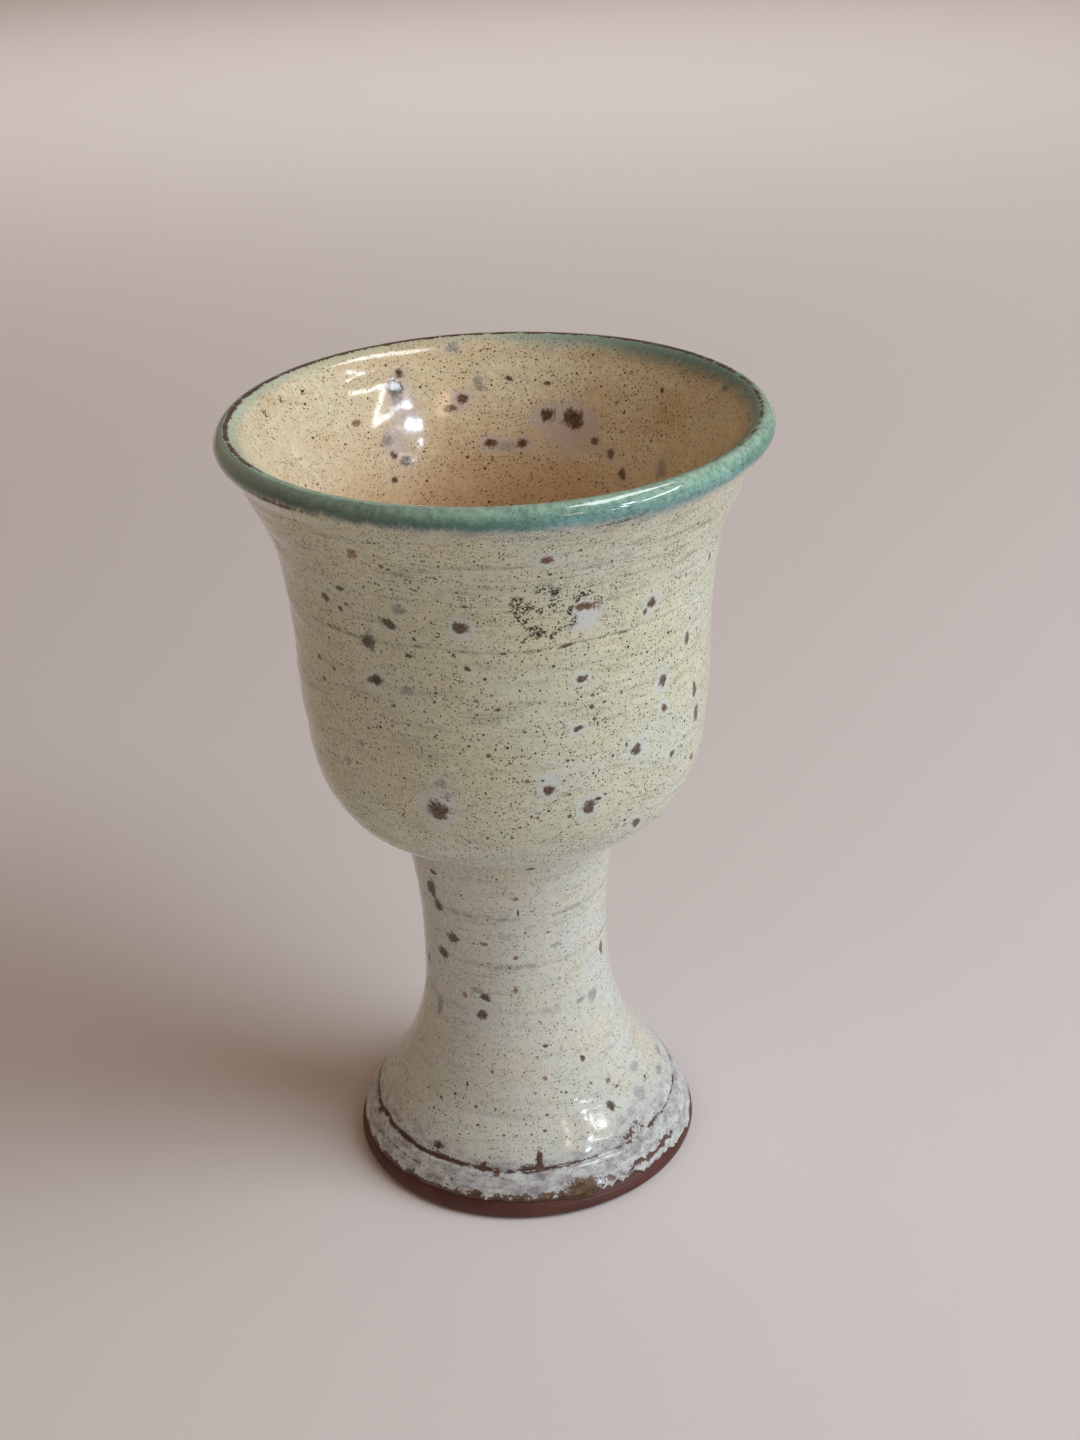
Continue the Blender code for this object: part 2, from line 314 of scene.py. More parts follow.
@dataclass
class Skin:
    """A turned coat or wall under work, with one value for each vertex.

    Args:
        name: Name of the piece.
        contour: The section that it follows.
        mesh: The mesh, spun as a plain tube until it is shaped.
        along: Length on the section.
        lift: Height off the clay.
        bearing: Bearing in degrees.
        front: 1 on the face that shows, 0 on the one against the clay.
    """

    name: str
    contour: Contour
    mesh: bpy.types.Mesh
    along: Array
    lift: Array
    bearing: Array
    front: Array

    @classmethod
    def spin(cls, name: str, contour: Contour, rows: Sequence[tuple[float, float, float]]) -> "Skin":
        """Spin a closed loop of rows once round the axis, as a plain tube.

        Args:
            name: Name of the piece.
            contour: The section that the rows lie on.
            rows: Along, lift and front share of each row.

        Returns:
            The skin, still to be shaped.
        """
        bm = bmesh.new()
        row_layer = bm.verts.layers.float.new("row")
        verts = []
        for index in range(len(rows)):
            vert = bm.verts.new((1.0, 0.0, index * 0.01))
            vert[row_layer] = index
            verts.append(vert)
        edges = [bm.edges.new(pair) for pair in zip(verts, verts[1:] + verts[:1])]
        bmesh.ops.spin(
            bm,
            geom=verts + edges,
            cent=(0.0, 0.0, 0.0),
            axis=(0.0, 0.0, 1.0),
            angle=math.tau,
            steps=COARSE_TURN,
            use_merge=True,
        )
        rings = [edge for edge in bm.edges if edge.verts[0][row_layer] == edge.verts[1][row_layer]]
        bmesh.ops.subdivide_edges(bm, edges=rings, cuts=FINE_TURN)
        mesh = bpy.data.meshes.new(name)
        bm.to_mesh(mesh)
        bm.free()
        row = np.zeros(len(mesh.vertices), np.float32)
        mesh.attributes["row"].data.foreach_get("value", row)
        mesh.attributes.remove(mesh.attributes["row"])
        place = np.zeros(len(mesh.vertices) * 3, np.float32)
        mesh.vertices.foreach_get("co", place)
        place = place.reshape(-1, 3)
        table = np.array(rows, float)[np.round(row).astype(int)]
        bearing = np.degrees(np.arctan2(place[:, 0], -place[:, 1]))
        return cls(name, contour, mesh, table[:, 0], table[:, 1], bearing, table[:, 2])

    def places(self, along: Array, lift: Array) -> Array:
        """Return rows of x, y and z in millimetres for these lengths and lifts."""
        section = self.contour.lifted(along, lift)
        turn = np.radians(self.bearing)
        return np.stack((section[:, 0] * np.sin(turn), -section[:, 0] * np.cos(turn), section[:, 1]), axis=-1)

    @cached_property
    def even(self) -> Array:
        """Return the places of the vertices before any relief."""
        return self.places(self.along, self.lift)

    def paint(self, name: str, *fields: Array | float) -> None:
        """Store up to three fields as a vector attribute that the glaze reads, with 0 for the others."""
        values = np.zeros((len(self.mesh.vertices), 3), np.float32)
        for column, field in enumerate(fields):
            values[:, column] = field
        layer = self.mesh.attributes.new(name, "FLOAT_VECTOR", "POINT")
        layer.data.foreach_set("vector", values.ravel())

    def finish(self, places: Array, material: bpy.types.Material) -> Piece:
        """Give the mesh its places, close its poles and make it an object.

        Args:
            places: Rows of x, y and z in millimetres.
            material: The finish of the piece.

        Returns:
            The finished object.
        """
        self.mesh.vertices.foreach_set("co", (places * MM).astype(np.float32).ravel())
        bm = bmesh.new()
        bm.from_mesh(self.mesh)
        bmesh.ops.remove_doubles(bm, verts=bm.verts, dist=MERGE_DISTANCE * MM)
        bmesh.ops.recalc_face_normals(bm, faces=bm.faces)
        bm.to_mesh(self.mesh)
        bm.free()
        self.mesh.shade_smooth()
        self.mesh.set_sharp_from_angle(angle=math.radians(SHARP_ANGLE))
        self.mesh.materials.append(material)
        piece = bpy.data.objects.new(self.name, self.mesh)
        bpy.context.scene.collection.objects.link(piece)
        LOG.info("%s: %d vertices", self.name, len(self.mesh.vertices))
        return piece


def span(start: float, end: float, pitch: float) -> list[float]:
    """Return even lengths from start up to, but without, the end, no further apart than the pitch."""
    count = max(1, math.ceil(abs(end - start) / pitch))
    return list(np.linspace(start, end, count + 1)[:-1])


def coat_rows(front: Rows) -> list[tuple[float, float, float]]:
    """Close a coat's front rows with coarse rows that lie on the clay.

    Args:
        front: Along and lift of each front row.

    Returns:
        Along, lift and front share of the whole loop.
    """
    rows = [(along, lift, 1.0) for along, lift in front]
    rows += [(along, SEAT_GAP, 0.0) for along in span(front[-1][0], front[0][0], BACK_PITCH)]
    rows.append((front[0][0], SEAT_GAP, 0.0))
    return rows


class MarkSet:
    """The spots of one coat, kept in layers in which no two lie close enough to disturb each other."""

    LAYERS = 3
    GATE = 3.5
    FADE = 2.8
    BOWL_BASE = 78.0
    RADII = (22.0, 42.0)
    PIT_SPREAD = 0.75

    def __init__(self, marks: Iterable[Mark]) -> None:
        """Sort the spots into layers, the widest first."""
        self.layers: list[list[Mark]] = [[] for _ in range(self.LAYERS)]
        for mark in sorted(marks, key=lambda spot: -spot.width * spot.length):
            crowding = [sum(self.near(mark, other) for other in layer) for layer in self.layers]
            self.layers[int(np.argmin(crowding))].append(mark)

    def near(self, one: Mark, other: Mark) -> bool:
        """Return whether two spots lie within each other's reach."""
        radius = self.RADII[one.height > self.BOWL_BASE]
        across = math.radians(float(turned(one.bearing, other.bearing))) * radius
        apart = math.hypot(across, one.height - other.height)
        return apart < self.GATE * (max(one.width, one.length) + max(other.width, other.length)) / 2

    def paint(self, skin: Skin, start: float = 0.0) -> Array:
        """Paint each layer on a coat.

        Args:
            skin: The coat to paint.
            start: Length on the section past which a spot's height is looked for.

        Returns:
            The depth of the pits at each vertex, 0 to 1.
        """
        pits = np.zeros(len(skin.along))
        radius = skin.contour.at(skin.along)[:, 0]
        for number, layer in enumerate(self.layers):
            offset = np.full((len(skin.along), 2), FAR)
            nearest = np.full(len(skin.along), FAR)
            kind = np.zeros((len(skin.along), 3))
            for mark in layer:
                across = np.radians(turned(skin.bearing, mark.bearing)) * radius
                up = skin.along - skin.contour.reach(mark.height, start)
                if start > 0.0:
                    up = -up
                tilt = math.radians(mark.tilt)
                u = (across * math.cos(tilt) + up * math.sin(tilt)) / (mark.width / 2)
                v = (up * math.cos(tilt) - across * math.sin(tilt)) / (mark.length / 2)
                distance = np.hypot(u, v)
                closer = distance < nearest
                nearest[closer] = distance[closer]
                offset[closer] = np.stack((u, v), axis=-1)[closer]
                kind[closer] = mark.kind.value
                if mark.kind is MarkKind.PIT:
                    pits = np.maximum(pits, bump(distance, 0.0, self.PIT_SPREAD))
            skin.paint(f"mark_{number}", *offset.T, nearest)
            skin.paint(f"kind_{number}", *kind.T)
        return pits


def scattered(seed: int, count: int, heights: tuple[float, float], bearings: tuple[float, float]) -> list[Mark]:
    """Draw spots for a side that is seen less, of the same kinds and sizes as the others.

    Args:
        seed: Seed of the draw.
        count: How many spots.
        heights: Lowest and highest place.
        bearings: First and last bearing, in degrees.

    Returns:
        The spots.
    """
    draw = np.random.default_rng(seed)
    kinds = (MarkKind.BROWN, MarkKind.IRON, MarkKind.DARK, MarkKind.SMEAR, MarkKind.SPECK, MarkKind.SPECK)
    marks = []
    for _ in range(count):
        kind = kinds[int(draw.integers(len(kinds)))]
        size = SPECK_SIZE if kind is MarkKind.SPECK else float(draw.uniform(*SPOT_SIZES))
        place = (float(draw.uniform(*heights)), float(draw.uniform(*bearings)))
        length = size * float(draw.uniform(*SPOT_SHAPES))
        marks.append(Mark(*place, size, length, kind, float(draw.uniform(*SPOT_TILTS))))
    return marks


@dataclass(frozen=True)
class GlazeTones:
    """Colours that one coat drifts between.

    Args:
        body: Colour of the coat.
        pale: Colour where it lies thick and milky; on the bowl its share also holds painted light and shade.
        warm: Colour where it lies thin.
        shade: Colour of its fine mottling.
        streak: Colour of the potter's throwing lines.
        rusty: Colour that its speckles drift to.
    """

    body: str
    pale: str
    warm: str
    shade: str
    streak: str
    rusty: str


@dataclass(frozen=True)
class Speckle:
    """One size of iron speckle in the glaze.

    Args:
        cell: Usual distance between two speckles in the clay, of which the surface cuts a few.
        smallest: Least radius.
        largest: Greatest radius.
        share: Share of the places that hold one.
        colour: Its colour.
        strength: How strongly it covers the glaze.
    """

    cell: float
    smallest: float
    largest: float
    share: float
    colour: str
    strength: float


SPECKLES = (
    Speckle(0.46, 0.09, 0.19, 0.66, "#6E6748", 0.80),
    Speckle(0.76, 0.14, 0.26, 0.52, "#453F29", 0.90),
    Speckle(1.80, 0.22, 0.40, 0.30, "#352D1B", 0.93),
)
FOOT_SPECKLES = (
    Speckle(0.46, 0.09, 0.18, 0.66, "#77704F", 0.75),
    Speckle(0.76, 0.13, 0.24, 0.46, "#544C32", 0.85),
    Speckle(1.80, 0.20, 0.34, 0.16, "#453B26", 0.88),
)


@dataclass(frozen=True)
class Finish:
    """A material that is built when it is first asked for.

    Args:
        name: Name of the material.
    """

    name: str

    def build(self) -> bpy.types.Material:
        """Return the material."""
        if self.name not in bpy.data.materials:
            material = bpy.data.materials.new(self.name)
            material.use_nodes = True
            self.lay(material.node_tree)
        return bpy.data.materials[self.name]

    def lay(self, tree: Tree) -> None:
        """Fill the material's tree."""
        raise NotImplementedError


@dataclass(frozen=True)
class StonewareGlaze(Finish):
    """A glossy oatmeal stoneware glaze, dipped thick: a cloudy glass over red clay, with iron that bled through it.

    Args:
        tones: Its colours.
        inner: Its colours inside the cup, where they differ on the same piece.
        halo: Colour of the milk round its spots.
        roughness: Roughness of the coat.
        mottling: Strength of the fine mottling.
        peel: Depth of its orange peel in millimetres.
        speckles: Its iron speckles.
    """

    tones: GlazeTones
    inner: Optional[GlazeTones] = None
    halo: str = "#D5DDDD"
    roughness: float = 0.16
    mottling: float = 0.5
    peel: float = 0.05
    speckles: tuple[Speckle, ...] = SPECKLES

    def lay(self, tree: Tree) -> None:
        """Lay the coat's layers, one over the other."""
        board = PotBoard(tree, (1.3, 3.0, 0.62), (0.7, 1.5, 0.5))
        colour = self.milky(board, self.body_colour(board))
        colour, dots = self.speckled(board, colour)
        colour, core = self.marked(board, colour)
        colour, glossy = self.rimmed(board, colour, dots, core)
        colour, rust = self.broken(board, colour)
        self.surface(board, colour, core, glossy, rust)

    def tone(self, board: PotBoard, name: str) -> Node | str:
        """Return one of the coat's colours, blended from outside to inside where the piece has both."""
        outside = getattr(self.tones, name)
        if self.inner is None:
            return outside
        return board.add("Mix", board.fields("band")[1], outside, getattr(self.inner, name), data_type="RGBA")

    def body_colour(self, board: PotBoard) -> Node:
        """Mix the coat's own colour: clouds, fine mottling and throwing streaks.

        Args:
            board: The material's nodes.

        Returns:
            The colour.
        """
        add, place, fine = board.add, board.place, board.fine
        _, milky_and_painted_light, streaks = board.fields("tone")
        clouds = add("MapRange", add("TexNoise", place, Scale=per(17), Detail=3.0), 0.42, 0.68, 0.0, 0.55)
        # The pale share: clouds of thick glaze, plus the painted tone, which holds milky glaze and also painted light
        # and shade.
        thick = add("Math", clouds, milky_and_painted_light, operation="ADD", use_clamp=True)
        patches = add("TexNoise", place, Scale=per(11), Detail=4.0, W=3.0, noise_dimensions="4D")
        thin = add("MapRange", patches, 0.48, 0.72, 0.0, 0.75)
        mottle = add("MapRange", fine, 0.38, 0.72, 0.0, self.mottling)
        flat = add("Mapping", place, Scale=(1.0, 1.0, 9.0))
        lines = add("TexNoise", flat, Scale=per(11), Detail=5.0, Roughness=0.66)
        drawn = add("Math", add("MapRange", lines, 0.52, 0.76), streaks, operation="MULTIPLY")
        broken = add("MapRange", fine, 0.36, 0.6, 0.2, 1.0)
        drawn = add("Math", broken, board.fields("rim")[2], drawn, operation="MULTIPLY_ADD", use_clamp=True)
        colour = self.tone(board, "body")
        for share, name in ((thick, "pale"), (thin, "warm"), (mottle, "shade"), (drawn, "streak")):
            colour = add("Mix", share, colour, self.tone(board, name), data_type="RGBA")
        return colour

    def speckled(self, board: PotBoard, colour: Node) -> tuple[Node, Node]:
        """Lay the iron speckles over the coat, more of them along the throwing lines.

        Args:
            board: The material's nodes.
            colour: Colour of the coat.

        Returns:
            The colour with its speckles, and where they are.
        """
        add = board.add
        flat = add("Mapping", board.place, Scale=(1.0, 1.0, 5.0))
        gathered = add("MapRange", add("TexNoise", flat, Scale=per(9), Detail=4.0), 0.32, 0.68, 0.35, 1.65)
        crowd = add("Math", gathered, board.fields("tone")[0], operation="MULTIPLY")
        rusty, depth = self.tone(board, "rusty"), board.fields("band")[1]
        dots: Feed = 0.0
        for speckle in self.speckles:
            cells = add("TexVoronoi", board.place, Scale=per(speckle.cell))
            size, luck, age = add("SeparateColor", cells.outputs["Color"]).outputs
            small, large = speckle.smallest / speckle.cell, speckle.largest / speckle.cell
            inside = add("Math", add("MapRange", size, 0.0, 1.0, small, large), cells, operation="SUBTRACT")
            soft = add("MapRange", inside, 0.0, small * 0.35, 0.0, speckle.strength)
            chance = add("Math", crowd, speckle.share, operation="MULTIPLY")
            chosen = add("Math", luck, chance, operation="LESS_THAN")
            cover = add("Math", soft, chosen, operation="MULTIPLY")
            aged = add("MapRange", age, 0.55, 1.0)
            drift = add("Math", depth, 0.9, aged, operation="MULTIPLY_ADD", use_clamp=True)
            tint = add("Mix", drift, speckle.colour, rusty, data_type="RGBA")
            colour = add("Mix", cover, colour, tint, data_type="RGBA")
            dots = add("Math", dots, cover, operation="MAXIMUM")
        return colour, dots

    def milky(self, board: PotBoard, colour: Node) -> Node:
        """Lay the milk that the glaze turns to where it pooled: white, with lilac-grey runs round the pot.

        Args:
            board: The material's nodes.
            colour: Colour of the coat.

        Returns:
            The colour with its milk.
        """
        add = board.add
        flat = add("Mapping", board.place, Scale=(1.0, 1.0, 2.2))
        runs = add("TexNoise", flat, Scale=per(3.0), Detail=3.0, Roughness=0.58)
        runs = add("MapRange", runs, 0.38, 0.68, 0.0, 0.95)
        lilac = add("Mix", board.grain, "#77757F", "#9C9AA6", data_type="RGBA")
        milk = add("Mix", runs, "#D6DFDF", lilac, data_type="RGBA")
        return add("Mix", board.fields("wash")[1], colour, milk, data_type="RGBA")

    def marked(self, board: PotBoard, colour: Node) -> tuple[Node, Node]:
        """Lay the larger spots over the coat, each with its milky halo.

        Args:
            board: The material's nodes, whose grain makes the spots' edges ragged.
            colour: Colour of the coat.

        Returns:
            The colour with its spots, and where their cores are.
        """
        add, grain = board.add, board.grain
        bent = add("TexNoise", board.place, Scale=per(2.0), Detail=2.0)
        shifts = []
        for noise, reach in ((grain, 1.35), (bent, 1.7)):
            centred = add("VectorMath", noise.outputs["Color"], (0.5, 0.5, 0.5), operation="SUBTRACT")
            shifts.append(add("VectorMath", centred, (reach, reach, 0.0), operation="MULTIPLY"))
        warp = add("VectorMath", *shifts, operation="ADD")
        patchy = add("MapRange", grain, 0.3, 0.7, -0.13, 0.05, clamp=False)
        thin_milk = add("MapRange", bent, 0.3, 0.6, 0.55, 1.0)
        gaps = add("MapRange", add("TexNoise", board.place, Scale=per(0.5), Detail=1.0), 0.55, 0.42)
        layers = []
        for number in range(MarkSet.LAYERS):
            spot = add("Attribute", attribute_name=f"mark_{number}").outputs["Vector"]
            reach = add("SeparateXYZ", spot).outputs["Z"]
            gate = add("MapRange", reach, MarkSet.FADE, MarkSet.GATE, 1.0, 0.0)
            flat = add("VectorMath", spot, (1.0, 1.0, 0.0), operation="MULTIPLY")
            away = add("VectorMath", add("VectorMath", flat, warp, operation="ADD"), operation="LENGTH")
            layers.append((away, gate, *board.fields(f"kind_{number}")))
        for away, gate, _, milk, _ in layers:
            halo = add("MapRange", away, 1.1, 3.5, 1.0, 0.0, interpolation_type="SMOOTHSTEP")
            for factor in (milk, gate, thin_milk):
                halo = add("Math", halo, factor, operation="MULTIPLY")
            colour = add("Mix", halo, colour, self.halo, data_type="RGBA")
        total: Optional[Node] = None
        for away, gate, strength, _, hue_place in layers:
            crumbly = add("MapRange", hue_place, 0.04, 0.1, 1.0, 0.12)
            cloudy = add("MapRange", hue_place, 0.82, 0.88, 0.0, 0.42)
            crumbs = add("Math", add("Math", crumbly, cloudy, operation="MAXIMUM"), gaps, operation="MULTIPLY")
            core = add("MapRange", away, 0.8, 1.6, 1.0, 0.0, interpolation_type="SMOOTHSTEP")
            for factor in (strength, gate, add("Math", 1.0, crumbs, operation="SUBTRACT")):
                core = add("Math", core, factor, operation="MULTIPLY")
            outwards = add("Math", away, 0.12, patchy, operation="MULTIPLY_ADD")
            hue = add("ValToRGB", add("Math", hue_place, outwards, operation="ADD", use_clamp=True))
            fill(hue.color_ramp, MARK_HUES)
            colour = add("Mix", core, colour, hue, data_type="RGBA")
            total = core if total is None else add("Math", total, core, operation="MAXIMUM")
        return colour, total

    def rimmed(self, board: PotBoard, colour: Node, dots: Node, core: Node) -> tuple[Node, Node]:
        """Lay the copper-green band over the lip: mint on its crest, teal where it pooled at its lower edge.

        Args:
            board: The material's nodes.
            colour: Colour of the coat.
            dots: Where the speckles are, which show darkly through the band.
            core: Where the spots are, which show through it too.

        Returns:
            The colour with its band, and where the band is.
        """
        add = board.add
        (across, inner, shown), (dull_and_painted_shade, bluish_and_lit, _) = board.fields("band"), board.fields("rim")
        tall = add("Mapping", board.place, Scale=(1.0, 1.0, 0.4))
        runs = add("TexNoise", tall, Scale=per(0.9), Detail=4.0, Roughness=0.7)
        ragged = add("MapRange", runs, 0.25, 0.75, -0.13, 0.13, clamp=False)
        depth = add("Math", across, ragged, operation="ADD")
        green = add("ValToRGB", add("Math", depth, 1.5, operation="DIVIDE"))
        fill(green.color_ramp, RIM_HUES)
        pooled = add("MapRange", depth, 0.25, 0.95, 0.0, 0.75)
        pooled = add("Math", pooled, add("Math", 1.0, inner, operation="SUBTRACT"), operation="MULTIPLY")
        blue = add("Math", pooled, bluish_and_lit, operation="MULTIPLY")
        dark = add("MapRange", board.fine, 0.4, 0.66, 0.0, 0.55)
        fleck = add("MapRange", runs, 0.54, 0.7, 0.0, 0.55)
        fleck = add("Math", fleck, add("MapRange", depth, 0.15, 0.7, 1.0, 0.25), operation="MULTIPLY")
        # Inside the cup the band is painted light and shade: pale mint where its wall faces the window, dark teal
        # where it is shaded.
        mint = add("Mix", bluish_and_lit, "#667D71", "#CDE9D3", data_type="RGBA")
        painted_light_share = add("Math", inner, add("Math", bluish_and_lit, 0.3, 0.6, operation="MULTIPLY_ADD"), operation="MULTIPLY")
        spotted = add("Math", dots, 0.6, operation="MULTIPLY")
        through = add("Math", core, 0.85, operation="MULTIPLY")
        # Partly the band's own grey, partly painted shade and light: dark grey-green at the front left, paler at the
        # far left.
        dull_and_shaded_colour = add("Mix", add("MapRange", dull_and_painted_shade, 0.45, 0.8), "#6C7269", "#B5D5CE", data_type="RGBA")
        for share, shade in (
            (blue, "#8FC4CA"),
            (dark, "#4C7069"),
            (fleck, "#BFE3D0"),
            (painted_light_share, mint),
            (spotted, "#35514A"),
            (through, "#4A4540"),
            (dull_and_painted_shade, dull_and_shaded_colour),
        ):
            green = add("Mix", share, green, shade, data_type="RGBA")
        softness = add("MapRange", inner, 0.0, 1.0, 1.0, 0.42)
        edge = add("Math", add("Math", depth, 1.0, operation="SUBTRACT"), softness, operation="MULTIPLY")
        cover = add("MapRange", edge, -0.2, 0.5, 1.0, 0.0, interpolation_type="SMOOTHSTEP")
        cover = add("Math", cover, shown, operation="MULTIPLY")
        return add("Mix", cover, colour, green, data_type="RGBA"), cover

    def broken(self, board: PotBoard, colour: Node) -> tuple[Node, Node]:
        """Let rust and ochre through where the glaze drew thin, over edges and in the foot's groove.

        Args:
            board: The material's nodes.
            colour: Colour of the coat.

        Returns:
            The colour with its rust, and where the rust is.
        """
        add = board.add
        rusty, _, ochre = board.fields("wash")
        worn = add("MapRange", board.grain, 0.25, 0.75, -0.34, 0.34, clamp=False)
        tint = add("MapRange", board.fine, 0.38, 0.62)
        covers = []
        for field, low, high, most, dark, light in (
            (rusty, 0.36, 0.62, 0.95, "#3F2C25", "#6A4836"),
            (ochre, 0.25, 0.75, 0.9, "#3E2913", "#705026"),
        ):
            worn_field = add("Math", field, worn, operation="ADD")
            covers.append(add("MapRange", worn_field, low, high, 0.0, most, interpolation_type="SMOOTHSTEP"))
            brown = add("Mix", tint, dark, light, data_type="RGBA")
            colour = add("Mix", covers[-1], colour, brown, data_type="RGBA")
        return colour, covers[0]

    def surface(self, board: PotBoard, colour: Node, core: Node, glossy: Node, rust: Node) -> None:
        """Join the colour to the shader, with its gloss and its faint orange peel.

        Args:
            board: The material's nodes.
            colour: Finished colour.
            core: Where the spots are.
            glossy: Where the green band is.
            rust: Where the rust shows.
        """
        add, fine = board.add, board.fine
        rough = add("MapRange", fine, 0.3, 0.7, self.roughness - 0.04, self.roughness + 0.06)
        for share, roughness in ((glossy, 0.07), (rust, 0.34)):
            rough = add("Mix", share, rough, roughness)
        peel = add("TexNoise", board.place, Scale=per(3.4), Detail=1.0)
        height = add("Math", add("Math", core, rust, operation="ADD"), -0.5, peel, operation="MULTIPLY_ADD")
        height = add("Math", fine, 0.1, height, operation="MULTIPLY_ADD")
        relief = add("Bump", Strength=1.0, Distance=self.peel * MM, Height=height)
        add("OutputMaterial", add("BsdfPrincipled", colour, Roughness=rough, Normal=relief, IOR=1.52))


@dataclass(frozen=True)
class BareStoneware(Finish):
    """Unglazed red stoneware, turned leather hard and fired: a close, dry body with a faint sheen and pale grit.

    Args:
        body: Colour of the fired clay.
        flash: Colour where the flame flushed it.
        roughness: Roughness of the clay.
        relief: Depth of its turning lines and grain in millimetres.
    """

    body: str
    flash: str
    roughness: float
    relief: float = 0.05

    def lay(self, tree: Tree) -> None:
        """Lay the clay's flush, grain, grit and turning lines."""
        board = PotBoard(tree, (9, 4.0, 0.5), (0.5, 3.0, 0.7))
        add, grain = board.add, board.grain
        flush = add("MapRange", board.fine, 0.4, 0.65)
        dark = add("MapRange", grain, 0.4, 0.75, 0.0, 0.35)
        grit = add("MapRange", add("TexVoronoi", board.place, Scale=per(1.7)), 0.03, 0.075, 0.75, 0.0)
        colour: Feed = self.body
        for share, shade in ((flush, self.flash), (dark, "#38201B"), (grit, "#B9998A")):
            colour = add("Mix", share, colour, shade, data_type="RGBA")
        flat = add("Mapping", board.place, Scale=(1.0, 1.0, 26.0))
        lines = add("TexNoise", flat, Scale=per(12), Detail=3.0)
        height = add("Math", lines, grain, operation="ADD")
        relief = add("Bump", Strength=1.0, Distance=self.relief * MM, Height=height)
        rough = add("MapRange", grain, 0.3, 0.7, self.roughness - 0.08, self.roughness + 0.08)
        add("OutputMaterial", add("BsdfPrincipled", colour, Roughness=rough, Normal=relief, IOR=1.5))


OATMEAL_TONES = GlazeTones("#DCE0C7", "#DCE6DC", "#E0DDB9", "#BCC0A4", "#7F8570", "#6B4B2A")
HONEY_TONES = GlazeTones("#E8D8AE", "#F1EBCB", "#E2C99E", "#CBB187", "#B39D77", "#6E4722")
DEEP_TONES = GlazeTones("#DEC19B", "#E8D4B2", "#D2AB82", "#C3A27B", "#A88A65", "#6A411E")
PALE_TONES = GlazeTones("#DDE2D6", "#DDE6E3", "#E3E1CA", "#C1C6BA", "#878E84", "#6E5236")
OATMEAL = StonewareGlaze("oatmeal_stoneware_glaze", OATMEAL_TONES)
HONEY = StonewareGlaze("honey_stoneware_glaze", HONEY_TONES, DEEP_TONES, halo="#D3C7BF", roughness=0.1, peel=0.036)
COPPER_GREEN = StonewareGlaze("copper_green_stoneware_glaze", OATMEAL_TONES, HONEY_TONES, roughness=0.12)
PALE = StonewareGlaze("pale_stoneware_glaze", PALE_TONES, roughness=0.1, peel=0.032, speckles=FOOT_SPECKLES)
RED_CLAY = BareStoneware("bare_red_stoneware", "#552E27", "#63382E", 0.5)


def spots(table: dict[MarkKind, Iterable[tuple[float, ...]]]) -> list[Mark]:
    """Return spots by kind, each given as height, bearing, width, length and perhaps tilt."""
    return [Mark(*size[:4], kind, *size[4:]) for kind, sizes in table.items() for size in sizes]


